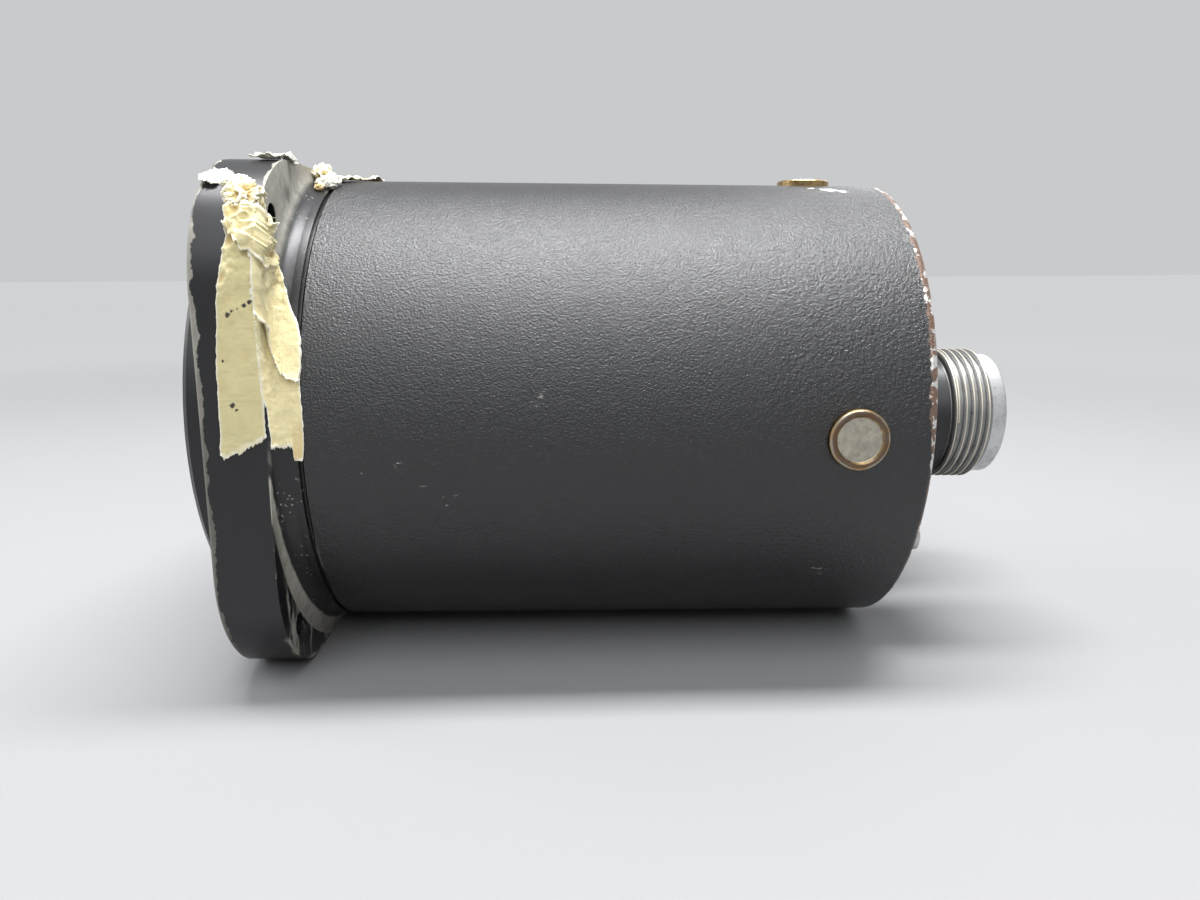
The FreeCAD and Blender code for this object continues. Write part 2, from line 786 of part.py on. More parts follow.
def make_dial():
    """Dial plate with its mask ring and two screws; its figures are printed, not cut."""
    body = new_body("dial", along="dial_front")
    plate = new_sketch(body)
    circle(plate, "dial_well_radius - seat_gap")
    circle(plate, "dial_eye_radius")
    for place in dial_screw_places():
        circle(plate, "dial_screw_radius + screw_gap", *place)
    pad(body, plate, "dial_thick")
    ring_piece("dial_mask_ring", "dial_well_radius - seat_gap", "dial_well_radius - mask_wide",
               "well_floor", "dial_well_deep - dial_thick")
    screws = new_body("dial_screws", along="dial_front")
    head = new_sketch(screws, along="-dial_head_long")
    shank = new_sketch(screws)
    for place in dial_screw_places():
        circle(head, "dial_head_radius", *place)
        circle(shank, "dial_screw_radius", *place)
    pad(screws, head, "dial_head_long")
    pad(screws, shank, "dial_thick + thread_bite")


def make_pointers():
    """Two pointers on concentric shafts, the front one on the inner shaft."""
    for label, hub, bore in (("front_pointer", "front_hub", "inner_shaft_radius"),
                             ("rear_pointer", "rear_hub", "tube_radius")):
        body = new_body(label, along=hub)
        bind(body, "Placement.Rotation.Angle", "blade_zero_angle")
        body.Placement.Rotation.Axis = Vector(0, 1, 0)
        blade = new_sketch(body, along="(hub_long - blade_thick) / 2")
        outline(blade, [
            ("-blade_half", "0"),
            ("-blade_half", "-blade_tail"),
            ("blade_half", "-blade_tail"),
            ("blade_half", "0"),
            ("blade_half", "blade_tip - blade_tail"),
            ("blade_tip_half", "blade_tip"),
            ("-blade_tip_half", "blade_tip"),
            ("-blade_half", "blade_tip - blade_tail"),
        ])
        pad(body, blade, "blade_thick")
        hub_sketch = new_sketch(body)
        circle(hub_sketch, f"{bore} + hub_wall")
        pad(body, hub_sketch, "hub_long")
        eye = new_sketch(body)
        circle(eye, bore)
        pocket(body, eye)
    shaft = new_body("inner_pointer_shaft", along="front_hub")
    rod = new_sketch(shaft)
    circle(rod, "inner_shaft_radius")
    pad(shaft, rod, "middle_plate_back - front_hub")
    ring_piece("outer_pointer_shaft", "tube_radius", "tube_bore", "rear_hub",
               "first_gear + gear_thick + gear_hub_long - rear_hub")


def gear_shape(bore):
    """Spur gear along +Y with involute flanks, its hub behind it and a tooth centred on +X."""
    teeth = round(value("gear_teeth"))
    pitch_radius = value("element_half") / 2
    module = 2 * pitch_radius / teeth
    base_radius = pitch_radius * math.cos(math.radians(20))
    tip_radius = pitch_radius + 0.9 * module
    root_radius = pitch_radius - 1.2 * module
    half_tooth = math.pi / (2 * teeth) - value("gear_play") / (2 * pitch_radius)

    def involute(radius):
        pressure = math.acos(min(1, base_radius / radius))
        return math.tan(pressure) - pressure

    def half_angle(radius):
        return half_tooth + involute(pitch_radius) - involute(max(radius, base_radius))

    flank = [root_radius, max(base_radius, root_radius + 0.2 * module), pitch_radius, tip_radius]
    corners = []
    for tooth in range(teeth):
        middle = 2 * math.pi * tooth / teeth
        for radius, sign in [(r, -1) for r in flank] + [(r, 1) for r in reversed(flank)]:
            angle = middle + sign * half_angle(radius)
            corners.append(Vector(radius * math.cos(angle), 0, radius * math.sin(angle)))
    face = Part.Face(Part.makePolygon(corners + corners[:1]))
    wheel = face.extrude(Vector(0, value("gear_thick"), 0))
    away = Vector(0, 1, 0)
    hub_long = value("gear_thick") + value("gear_hub_long")
    hub = Part.makeCylinder(bore + value("hub_wall"), hub_long, Vector(), away)
    eye = Part.makeCylinder(bore, hub_long, Vector(), away)
    return wheel.fuse(hub).cut(eye).removeSplitter()


def make_gears():
    """In the first plane the left spindle drives the outer shaft, in the second the right one the inner."""
    even_turn = 0 if round(value("gear_teeth")) % 2 else 180 / round(value("gear_teeth"))
    for label, bore, side, plane in (
            ("outer_shaft_gear", "tube_radius", 0, "first_gear"),
            ("inner_shaft_gear", "inner_shaft_radius", 0, "second_gear"),
            ("left_spindle_gear", "spindle_radius", -1, "first_gear"),
            ("right_spindle_gear", "spindle_radius", 1, "second_gear")):
        shape = gear_shape(value(bore))
        if side:
            shape.rotate(Vector(), Vector(0, 1, 0), even_turn)
        coded_piece(label, shape, side * value("element_half"), value(plane))


def spring_shape():
    """Flat spiral spring of half-turn arcs; each half turn grows by half a pitch."""
    half_step = value("spring_pitch") / 2
    thick = value("spring_thick")
    half_turns = round(2 * value("spring_turns"))
    rims = []
    for offset in (-thick / 2, thick / 2):
        edges = []
        for number in range(half_turns):
            radius = value("spring_inner") + half_step / 2 + number * half_step + offset
            centre = half_step / 2 * (1 if number % 2 else -1)
            side = -1 if number % 2 else 1
            points = [Vector(centre + side * radius * math.cos(t), 0, side * radius * math.sin(t))
                      for t in (0, math.pi / 2, math.pi)]
            edges.append(Part.Arc(*points).toShape())
        rims.append(edges)
    inner, outer = rims
    start = Part.LineSegment(inner[0].Vertexes[0].Point, outer[0].Vertexes[0].Point).toShape()
    end = Part.LineSegment(inner[-1].Vertexes[-1].Point, outer[-1].Vertexes[-1].Point).toShape()
    wire = Part.Wire(Part.__sortEdges__(inner + outer + [start, end]))
    return Part.Face(wire).extrude(Vector(0, value("spring_high"), 0)), outer[-1].Vertexes[-1].Point


def make_elements():
    """Spindle, drag disc and hairspring of each element."""
    spring, spring_tip = spring_shape()
    for side, sign in SIDES.items():
        across = side_across(side)
        spindle = new_body(f"{side}_spindle", across=across)
        revolve(spindle, [
            ("0", "plate_seat"),
            ("spindle_radius", "plate_seat"),
            ("spindle_radius", "collet_front"),
            ("collet_radius", "collet_front"),
            ("collet_radius", "collet_back"),
            ("spindle_radius", "collet_back"),
            ("spindle_radius", "disc_front + disc_thick"),
            ("0", "disc_front + disc_thick"),
        ])
        disc = new_body(f"{side}_drag_disc", across=across, along="disc_front")
        revolve(disc, [
            ("spindle_radius", "-disc_hub_long"),
            ("disc_hub_radius", "-disc_hub_long"),
            ("disc_hub_radius", "0"),
            ("disc_radius", "0"),
            ("disc_radius", "disc_thick"),
            ("spindle_radius", "disc_thick"),
        ])
        along = value("collet_front") + (value("collet_long") - value("spring_high")) / 2
        coded_piece(f"{side}_hairspring", spring, sign * value("element_half"), along)
    stud = new_body("hairspring_stud", kept=False)
    post = new_sketch(stud)
    circle(post, "spring_stud_radius")
    pad(stud, post, "collet_gap + collet_long")
    reach = spring_tip.x + value("spring_stud_radius") * (1 if spring_tip.x > 0 else -1)
    studs = [(f"{side_across(side)} + {reach:.4f}", "middle_plate_back", "0") for side in SIDES]
    group("hairspring_studs", stud, studs)


def make_plates():
    """Four round plates on hexagonal pillars, with bushes for the pointer shafts and spindles."""
    bushes = []
    centre_bushes = {"front_plate": "tube_radius", "middle_plate": "inner_shaft_radius"}
    for label, along in (("front_plate", "plate_seat"), ("middle_plate", "middle_plate_front"),
                         ("motor_plate", "motor_plate_front"), ("rear_plate", "rear_plate_front")):
        body = new_body(label, along=along)
        disc = new_sketch(body)
        circle(disc, "plate_radius")
        for place in pillar_places():
            circle(disc, "pillar_stud_radius + seat_gap", *place)
        if label in centre_bushes:
            rod = centre_bushes[label]
            circle(disc, f"{rod} + running_gap + bush_wall")
            bushes.append((f"{rod} + running_gap", "0", along))
            for side in SIDES:
                circle(disc, "spindle_radius + running_gap + bush_wall", side_across(side))
                bushes.append(("spindle_radius + running_gap", side_across(side), along))
        else:
            for side in SIDES:
                circle(disc, "bearing_radius", side_across(side))
        pad(body, disc, "plate_thick")
        if label == "front_plate":
            holes = new_sketch(body)
            circle(holes, "small_screw_radius + screw_gap", "movement_screw_circle")
            repeat_round(body, [pocket(body, holes)], 4)
        if label == "middle_plate":
            windows = new_sketch(body)
            low, high = "pillar_up - middle_window_half * 2", "pillar_up - middle_window_half / 2"
            rectangle(windows, "-middle_window_half", "middle_window_half", low, high)
            rectangle(windows, "-middle_window_half", "middle_window_half", f"-({high})", f"-({low})")
            pocket(body, windows)
        if label == "rear_plate":
            holes = new_sketch(body)
            for side in SIDES:
                for turn in PIN_TURNS:
                    circle(holes, "lead_radius + screw_gap * 3",
                           f"{side_across(side)} + coil_circle * cos({turn})", f"coil_circle * sin({turn})")
            pocket(body, holes)
    body = new_body("pivot_bushes")
    for bore, across, along in bushes:
        ring = new_sketch(body, along=along)
        circle(ring, f"{bore} + bush_wall", across)
        circle(ring, bore, across)
        pad(body, ring, "plate_thick")


def pillar_places():
    """Centres of the four pillars, as (across, up) formulas."""
    return [(f"{x}pillar_across", f"{z}pillar_up") for x in ("", "-") for z in ("", "-")]


def make_pillars():
    """Hexagonal pillars between the plates, each with a stud that enters the pillar in front of it."""
    spans = (("front_pillars", "front_plate_back", "middle_plate_front", "plate_thick"),
             ("middle_pillars", "middle_plate_back", "motor_plate_front", "plate_thick + pillar_stud_bite"),
             ("rear_pillars", "motor_plate_back", "rear_plate_front", "plate_thick + pillar_stud_bite"))
    for label, front, back, stud_long in spans:
        post = new_body(label[:-1], kept=False)
        hexagon = new_sketch(post)
        circumradius = "pillar_flat_radius / cos(30)"
        outline(hexagon, [(f"{circumradius} * cos({turn})", f"{circumradius} * sin({turn})")
                          for turn in range(0, 360, 60)])
        pad(post, hexagon, f"{back} - {front}")
        stud = new_sketch(post, along=f"-({stud_long})")
        circle(stud, "pillar_stud_radius")
        pad(post, stud, stud_long)
        tapped = new_sketch(post, along=f"{back} - {front}")
        circle(tapped, "pillar_stud_radius")
        pocket(post, tapped, "pillar_stud_bite + seat_gap", reverse=True)
        group(label, post, [(across, front, up) for across, up in pillar_places()])


def pan_screw(label, shank_long):
    """Small pan-headed screw along Y, its head behind the origin."""
    screw = new_body(label, kept=False)
    revolve(screw, [
        ("0", f"-({shank_long})"),
        ("small_screw_radius", f"-({shank_long})"),
        ("small_screw_radius", "0"),
        ("small_head_radius", "0"),
        ("small_head_radius", "small_head_long * 0.6"),
        ("small_head_radius * 0.75", "small_head_long"),
        ("0", "small_head_long"),
    ])
    slot = new_sketch(screw, along="small_head_long - slot_deep")
    rectangle(slot, "-small_head_radius", "small_head_radius", "-slot_wide / 2", "slot_wide / 2")
    pocket(screw, slot, "slot_deep", reverse=False)
    return screw


def make_frame_screws():
    """Screws of the rear plate into the pillars, and of the front plate into the flange."""
    group("frame_screws", pan_screw("frame_screw", "plate_thick + pillar_stud_bite"),
          [(across, "rear_plate_back", up) for across, up in pillar_places()])
    circle_of = "movement_screw_circle"
    group("movement_screws", pan_screw("movement_screw", "plate_thick + thread_bite"),
          [(across, "front_plate_back", up) for across, up in
           ((circle_of, "0"), ("-" + circle_of, "0"), ("0", circle_of), ("0", "-" + circle_of))])


def make_magnets(side):
    """Two steel keepers joined by posts, with a ring of magnets that faces the drag disc."""
    across = side_across(side)
    carrier = new_body(f"{side}_magnet_carrier", across=across, along="ring_keeper_front")
    rear = new_sketch(carrier, along="keeper_front - ring_keeper_front")
    circle(rear, "keeper_radius")
    circle(rear, "rotor_shaft_radius")
    pad(carrier, rear, "keeper_thick")
    post = new_sketch(carrier)
    circle(post, "keeper_post_radius", "keeper_post_circle")
    repeat_round(carrier, [pad(carrier, post, "keeper_front - ring_keeper_front")], 3)
    front = new_sketch(carrier)
    circle(front, "keeper_radius")
    circle(front, "keeper_eye_radius")
    pad(carrier, front, "keeper_ring_thick")

    magnets = new_body(f"{side}_magnets", across=across, along="magnet_front")
    face = new_sketch(magnets)
    for turn in range(0, 360, 60):
        circle(face, "magnet_radius", f"magnet_circle * cos({turn})", f"magnet_circle * sin({turn})")
    pad(magnets, face, "magnet_long")


def make_motors():
    """Synchronous motor of each element: housing, wound stator, rotor and shaft in ball bearings."""
    for side in SIDES:
        across = side_across(side)
        make_magnets(side)
        housing = new_body(f"{side}_motor_housing", across=across, along="motor_plate_back")
        revolve(housing, [
            ("motor_eye_radius", "0"),
            ("motor_radius", "0"),
            ("motor_radius", "motor_long"),
            ("motor_radius - motor_wall", "motor_long"),
            ("motor_radius - motor_wall", "motor_wall"),
            ("motor_eye_radius", "motor_wall"),
        ])
        shaft = new_body(f"{side}_rotor_shaft", across=across, along="keeper_front")
        rod = new_sketch(shaft)
        circle(rod, "rotor_shaft_radius")
        pad(shaft, rod, "rear_plate_back - keeper_front")
        ring_piece(f"{side}_rotor_core", "stator_bore - rotor_gap", "rotor_shaft_radius",
                   "stator_front", "stator_long", across)

    core = new_body("stator_core", kept=False)
    yoke = new_sketch(core)
    circle(yoke, "stator_radius")
    circle(yoke, "stator_radius - stator_yoke")
    pad(core, yoke, "stator_long")
    pole = new_sketch(core)
    rectangle(pole, "-pole_half", "pole_half",
              "stator_bore - pole_half / 2", "stator_radius - stator_yoke / 2")
    repeat_round(core, [pad(core, pole, "stator_long")], 6)
    bore = new_sketch(core)
    circle(bore, "stator_bore")
    pocket(core, bore)
    group("stator_cores", core, [(side_across(side), "stator_front", "0") for side in SIDES])

    coil = new_body("stator_coil", kept=False)
    winding = new_sketch(coil, "XY_Plane", "-coil_lift")
    inner_half = "pole_half + seat_gap"
    rectangle(winding, f"-({inner_half} + coil_build)", f"{inner_half} + coil_build",
              "-(seat_gap + coil_build)", "stator_long + seat_gap + coil_build")
    rectangle(winding, f"-({inner_half})", inner_half, "-seat_gap", "stator_long + seat_gap")
    feature = pad(coil, winding, "coil_thick")
    feature.Reversed = False
    doc.recompute()
    repeat_round(coil, [feature], 6)
    group("stator_coils", coil, [(side_across(side), "stator_front", "0") for side in SIDES])

    bearing = ring_piece("motor_bearing", "bearing_radius", "rotor_shaft_radius + running_gap",
                         "0", "plate_thick", kept=False)
    group("motor_bearings", bearing, [
        (side_across(side), plate, "0")
        for side in SIDES for plate in ("motor_plate_front", "rear_plate_front")])


def make_motor_leads():
    """Leads from the stator coils through the rear plate to the solder cups of the pins."""
    leads = []
    start_along = value("coil_end")
    bend_start = value("rear_plate_back") + value("lead_straight")
    end_along = value("shell_seat") - value("shell_tail_long") - value("pin_cup_long")
    bend_end = end_along - value("lead_tail_long")
    for sign in SIDES.values():
        for turn in PIN_TURNS:
            way = Vector(math.cos(math.radians(turn)), 0, math.sin(math.radians(turn)))
            near = Vector(sign * value("element_half"), 0, 0) + way * value("coil_circle")
            far = Vector(sign * value("receptacle_half"), 0, 0) + way * value("pin_circle")
            leads.append(lead_shape(near, far, start_along, bend_start, bend_end, end_along))
    coded_piece("motor_leads", Part.makeCompound(leads))


def lead_shape(near, far, start_along, bend_start, bend_end, end_along):
    """Round lead of three straight runs with mitred corners."""
    route = [(near, start_along), (near, bend_start), (far, bend_end), (far, end_along)]
    points = [Vector(place.x, along, place.z) for place, along in route]
    section = Part.Wire(Part.makeCircle(value("lead_radius"), points[0], Vector(0, 1, 0)))
    mitred = 1
    return Part.makePolygon(points).makePipeShell([section], True, False, mitred)


def make_tape():
    """What is left of the masking tape: a strip down the near flat, a lap over the neck and a wad on top."""
    strip = new_body("tape_strip", kept=False, across="flange_half")
    flat = new_sketch(strip, along="tape_front")
    rectangle(flat, "0", "tape_thick", "tape_low", "tape_high - flange_corner / 4")
    pad(strip, flat, "flange_thick - tape_front")
    corner = ("case_radius + neck_flare * 0.8", "flange_thick + tape_thick / 2")
    neck = ("case_radius + seat_gap", "flange_thick + neck_flare + tape_thick")
    lap = tape_band("tape_lap", [
        corner,
        neck,
        ("case_radius + seat_gap", "flange_thick + tape_lap_long"),
        ("case_radius + seat_gap + tape_thick", "flange_thick + tape_lap_long"),
        ("case_radius + seat_gap + tape_thick", "flange_thick + neck_flare"),
        ("case_radius + neck_flare * 0.8 + tape_thick", "flange_thick + tape_thick"),
    ])
    wad = tape_band("tape_wad", [
        corner,
        neck,
        ("case_radius + seat_gap", "flange_thick + tape_wad_long"),
        ("case_radius + seat_gap + tape_thick", "flange_thick + tape_wad_long"),
        ("case_radius + tape_wad_high / 2", "flange_thick + tape_lap_long"),
        ("case_radius + tape_wad_high", "flange_thick + neck_flare"),
        ("case_radius + tape_wad_high", "flange_thick + tape_thick * 2"),
    ])
    tape = doc.addObject("Part::Compound", "tape_remnants")
    tape.Label = "tape_remnants"
    tape.Links = [strip, lap, wad]
    doc.recompute()
    pieces.append(tape)


def tape_band(name, profile):
    """Band of tape round part of the neck, from its own start angle over its own angle."""
    band = new_body(name, kept=False)
    revolve(band, profile, angle=f"{name}_angle")
    bind(band, "Placement.Rotation.Angle", f"{name}_start")
    band.Placement.Rotation.Axis = Vector(0, 1, 0)
    return band


def check_document():
    """Stop unless every object of the document was computed and every piece is a sound solid."""
    failed = [item.Label for item in doc.Objects if {"Invalid", "Error"} & set(item.State)]
    if failed:
        raise RuntimeError("not computed: " + ", ".join(failed))
    for piece in pieces:
        shape = piece.Shape
        if shape.isNull() or not shape.isValid() or not shape.Solids:
            raise RuntimeError(f"{piece.Label} is not a sound solid")


def write_parts():
    os.makedirs("parts", exist_ok=True)
    for piece in pieces:
        piece.Shape.exportStep(f"parts/{piece.Label}.step")
        box = piece.Shape.BoundBox
        print(f"{piece.Label:26} solids {len(piece.Shape.Solids):2}  volume {piece.Shape.Volume:10.2f}"
              f"  y {box.YMin:7.2f} to {box.YMax:7.2f}")


sheet = make_sheet()
places = make_places()
make_front_flange()
make_case_tube()
make_rear_cover()
make_seal_plugs()
make_receptacles()
make_front_glass()
make_dial()
make_pointers()
make_gears()
make_elements()
make_plates()
make_pillars()
make_frame_screws()
make_motors()
make_motor_leads()
make_tape()
doc.recompute()
check_document()
write_parts()
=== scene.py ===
import functools
import math

import bmesh
import bpy
from bpy.props import FloatProperty, FloatVectorProperty, IntProperty, PointerProperty
from mathutils import Matrix, Vector, noise


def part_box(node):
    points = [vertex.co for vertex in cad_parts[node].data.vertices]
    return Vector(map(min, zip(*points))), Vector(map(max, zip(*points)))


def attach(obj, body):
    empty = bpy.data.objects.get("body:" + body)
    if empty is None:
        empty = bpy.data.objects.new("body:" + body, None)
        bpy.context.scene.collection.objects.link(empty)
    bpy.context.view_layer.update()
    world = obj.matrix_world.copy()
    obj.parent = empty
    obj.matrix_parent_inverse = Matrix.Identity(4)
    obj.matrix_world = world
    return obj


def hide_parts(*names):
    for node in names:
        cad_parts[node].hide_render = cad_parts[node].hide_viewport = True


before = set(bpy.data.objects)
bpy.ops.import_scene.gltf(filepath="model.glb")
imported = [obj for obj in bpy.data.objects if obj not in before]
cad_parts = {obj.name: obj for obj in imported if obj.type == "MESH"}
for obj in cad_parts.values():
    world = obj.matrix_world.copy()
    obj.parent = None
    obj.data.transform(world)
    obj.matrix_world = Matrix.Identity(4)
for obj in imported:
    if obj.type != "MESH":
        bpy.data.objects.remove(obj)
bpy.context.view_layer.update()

bl_info = {
    "name": "Dual tachometer",
    "version": (1, 0, 0),
    "blender": (4, 5, 0),
    "location": "View3D > Sidebar > Tachometer",
    "description": "Finishes a dual tachometer around its packed construction model",
    "category": "Object",
}

MM = 0.001

# Places that the construction model gives
CASE_LOW, CASE_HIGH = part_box("case_tube")
CASE_RADIUS, CASE_FRONT, CASE_BACK = CASE_HIGH.x, CASE_LOW.y, CASE_HIGH.y
FLANGE_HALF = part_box("front_flange")[1].x
COVER_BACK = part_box("rear_cover")[1].y
SHELL_LOW, SHELL_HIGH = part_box("right_receptacle_shell")
RECEPTACLE_ACROSS = (SHELL_LOW.x + SHELL_HIGH.x) / 2
SHELL_BACK = SHELL_HIGH.y
DIAL_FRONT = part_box("dial")[0].y
PLUG_LOW, PLUG_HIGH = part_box("seal_plugs")
PLUG_TOP = PLUG_HIGH.x
PLUG_ALONG = (PLUG_LOW.y + PLUG_HIGH.y) / 2
PLUG_RADIUS = (PLUG_HIGH.y - PLUG_LOW.y) / 2

# Darker colour for bare metal towards the flange's bottom
DARK_METAL = (0.07, 0.066, 0.052)
PAPER = 0.12 * MM
MARK = 0.03 * MM
PLATE_HALF, PLATE_CORNER, PLATE_THICK = 13.0 * MM, 2.0 * MM, 1.6 * MM
COVER_GAP = 2.5 * MM
FLOOR_REACH = 6.0
SKY = (0.188, 0.194, 0.2)

# The photograph's camera, found from the outlines in it
CAMERA_PLACE = Vector((162.244, 52.004, 24.178)) * MM
CAMERA_RIGHT = Vector((0.036987, 0.999295, 0.006574))
CAMERA_UP = Vector((-0.204588, 0.001133, 0.978849))
CAMERA_AHEAD = Vector((-0.97815, 0.03755, -0.204486))
CAMERA_LENS = 25.894

# Lamps: name, place, width, depth, power and tint; AIM is what they point at
AIM = Vector((0, 0.06, 0))
LAMPS = (
    ("overhead_lamp", (-0.02, 0.07, 0.66), 0.13, 0.62, 10.0, (0.98, 0.985, 1.0)),
    ("near_lamp", (0.42, 0.03, 0.5), 0.5, 0.6, 3.4, (0.97, 0.985, 1.0)),
    ("dial_lamp", (-0.1, -0.6, 0.35), 0.5, 0.5, 2.4, (0.97, 0.98, 1.0)),
    ("far_lamp", (-0.45, 0.45, 0.4), 0.5, 0.5, 1.2, (0.97, 0.98, 1.0)))


def length(name, default, low=0.0):
    return FloatProperty(name=name, description=f"{name}, in metres", default=default, min=low,
                         precision=5, unit="LENGTH", subtype="DISTANCE")


def colour(name, default):
    return FloatVectorProperty(name=name, description=f"Colour of the {name.lower()}", default=default,
                               size=3, min=0, max=1, subtype="COLOR")


class FlangeSizes(bpy.types.PropertyGroup):
    thick: length("Flange thickness", 9.3 * MM)
    corner: length("Flange corner radius", 19.8 * MM)
    flare: length("Neck fillet radius", 2.6 * MM)


class ReceptacleSizes(bpy.types.PropertyGroup):
    pitch: length("Thread pitch", 1.27 * MM)
    thread_radius: length("Thread crest radius", 11.1 * MM)
    thread_depth: length("Thread depth", 0.72 * MM)
    neck_radius: length("Neck radius", 9.9 * MM)
    mouth_radius: length("Mouth radius", 10.2 * MM)
    bore_radius: length("Bore radius", 8.9 * MM)
    thread_start: length("Start of the thread before the mouth's end", 9.05 * MM)
    thread_end: length("End of the thread before the mouth's end", 2.5 * MM)


class DialSizes(bpy.types.PropertyGroup):
    numerals: IntProperty(name="Numerals", description="How many numbers the scale shows", default=8, min=2)
    step: IntProperty(name="Step", description="Difference between two numbers", default=5, min=1)
    parts: IntProperty(name="Parts", description="Divisions between two numbers", default=5, min=1)
    sweep: FloatProperty(name="Sweep", description="Angle that the scale covers", default=math.radians(300),
                         subtype="ANGLE", unit="ROTATION")
    scale_radius: length("Outer radius of the scale", 31.0 * MM)
    numeral_radius: length("Radius of the numbers' middle", 22.6 * MM)
    numeral_height: length("Height of the numbers", 4.6 * MM)


class FinishColours(bpy.types.PropertyGroup):
    enamel: colour("Case enamel", (0.0055, 0.0056, 0.0062))
    bare: colour("Bare cast metal", (0.47, 0.45, 0.39))
    primer: colour("Primer", (0.2, 0.115, 0.075))
    bright: colour("Bright scratched metal", (0.62, 0.61, 0.59))
    tape: colour("Masking tape", (0.9, 0.8, 0.46))
    tape_torn: colour("Torn fibres", (0.95, 0.93, 0.85))
    nickel: colour("Tarnished nickel", (0.46, 0.43, 0.355))
    brass: colour("Brass", (0.42, 0.29, 0.13))
    shell: colour("Receptacle metal", (0.56, 0.565, 0.57))
    steel: colour("Steel", (0.50, 0.49, 0.47))
    copper: colour("Winding", (0.50, 0.20, 0.08))
    marking: colour("Dial marking", (0.86, 0.84, 0.74))
    floor: colour("Floor", (0.29, 0.29, 0.295))
    backdrop: colour("Backdrop", (0.58, 0.59, 0.6))


class TachometerSettings(bpy.types.PropertyGroup):
    flange: PointerProperty(type=FlangeSizes, name="Flange", description="Sizes of the flange")
    receptacle: PointerProperty(type=ReceptacleSizes, name="Receptacle", description="Sizes of a receptacle")
    dial: PointerProperty(type=DialSizes, name="Dial", description="Layout of the dial")
    colours: PointerProperty(type=FinishColours, name="Colours", description="Colours of the finishes")


def settings():
    return bpy.context.scene.tachometer


def shaded(colour, factor, lift=0.0):
    """Colour made darker or lighter by a factor."""
    return [min(1.0, channel * factor + lift) for channel in colour]


class Value:
    """One value in a node tree; arithmetic on it adds nodes, and | takes the larger of two."""

    def __init__(self, nodes, socket):
        self.nodes, self.socket = nodes, socket

    def __add__(self, other):
        return self.nodes.math("ADD", self, other)

    def __sub__(self, other):
        return self.nodes.math("SUBTRACT", self, other)

    def __rsub__(self, other):
        return self.nodes.math("SUBTRACT", other, self)

    def __mul__(self, other):
        return self.nodes.math("MULTIPLY", self, other)

    def __truediv__(self, other):
        return self.nodes.math("DIVIDE", self, other)

    def __or__(self, other):
        return self.nodes.math("MAXIMUM", self, other)

    def __abs__(self):
        return self.nodes.math("ABSOLUTE", self)

    def ramp(self, low, high, from_value=0.0, to_value=1.0):
        """Smooth step between low and high."""
        return self.nodes.add("ShaderNodeMapRange", {
            "Value": self, "From Min": low, "From Max": high, "To Min": from_value, "To Max": to_value,
        }, interpolation_type="SMOOTHSTEP")

    def fall(self, low, high):
        return self.ramp(low, high, 1.0, 0.0)


class Nodes:
    """A node tree, its nodes added in the order in which they are used."""

    def __init__(self, tree):
        self.tree = tree

    def fill(self, node, inputs):
        for key, value in inputs.items():
            socket = node.inputs[key.replace("_", " ") if isinstance(key, str) else key]
            if isinstance(value, Value):
                self.tree.links.new(value.socket, socket)
            elif socket.type == "RGBA":
                socket.default_value = (*value[:3], 1.0)
            else:
                socket.default_value = value

    def outputs_of(self, kind, inputs=None, **options):
        node = self.tree.nodes.new(kind)
        for name, value in options.items():
            setattr(node, name, value)
        self.fill(node, inputs or {})
        return node.outputs

    def add(self, kind, inputs=None, output=0, **options):
        return Value(self, self.outputs_of(kind, inputs, **options)[output])

    def math(self, operation, *values):
        return self.add("ShaderNodeMath", dict(enumerate(values)), operation=operation)

    def mixed(self, factor, first, second):
        return self.add("ShaderNodeMix", {0: factor, 6: first, 7: second}, 2, data_type="RGBA")

    def seen(self):
        """1 for the camera's rays and what metal and glass show, 0 for the rays that carry light."""
        path = self.outputs_of("ShaderNodeLightPath")
        rays = [Value(self, path[f"Is {kind} Ray"]) for kind in ("Camera", "Glossy", "Transmission")]
        return functools.reduce(Value.__or__, rays)


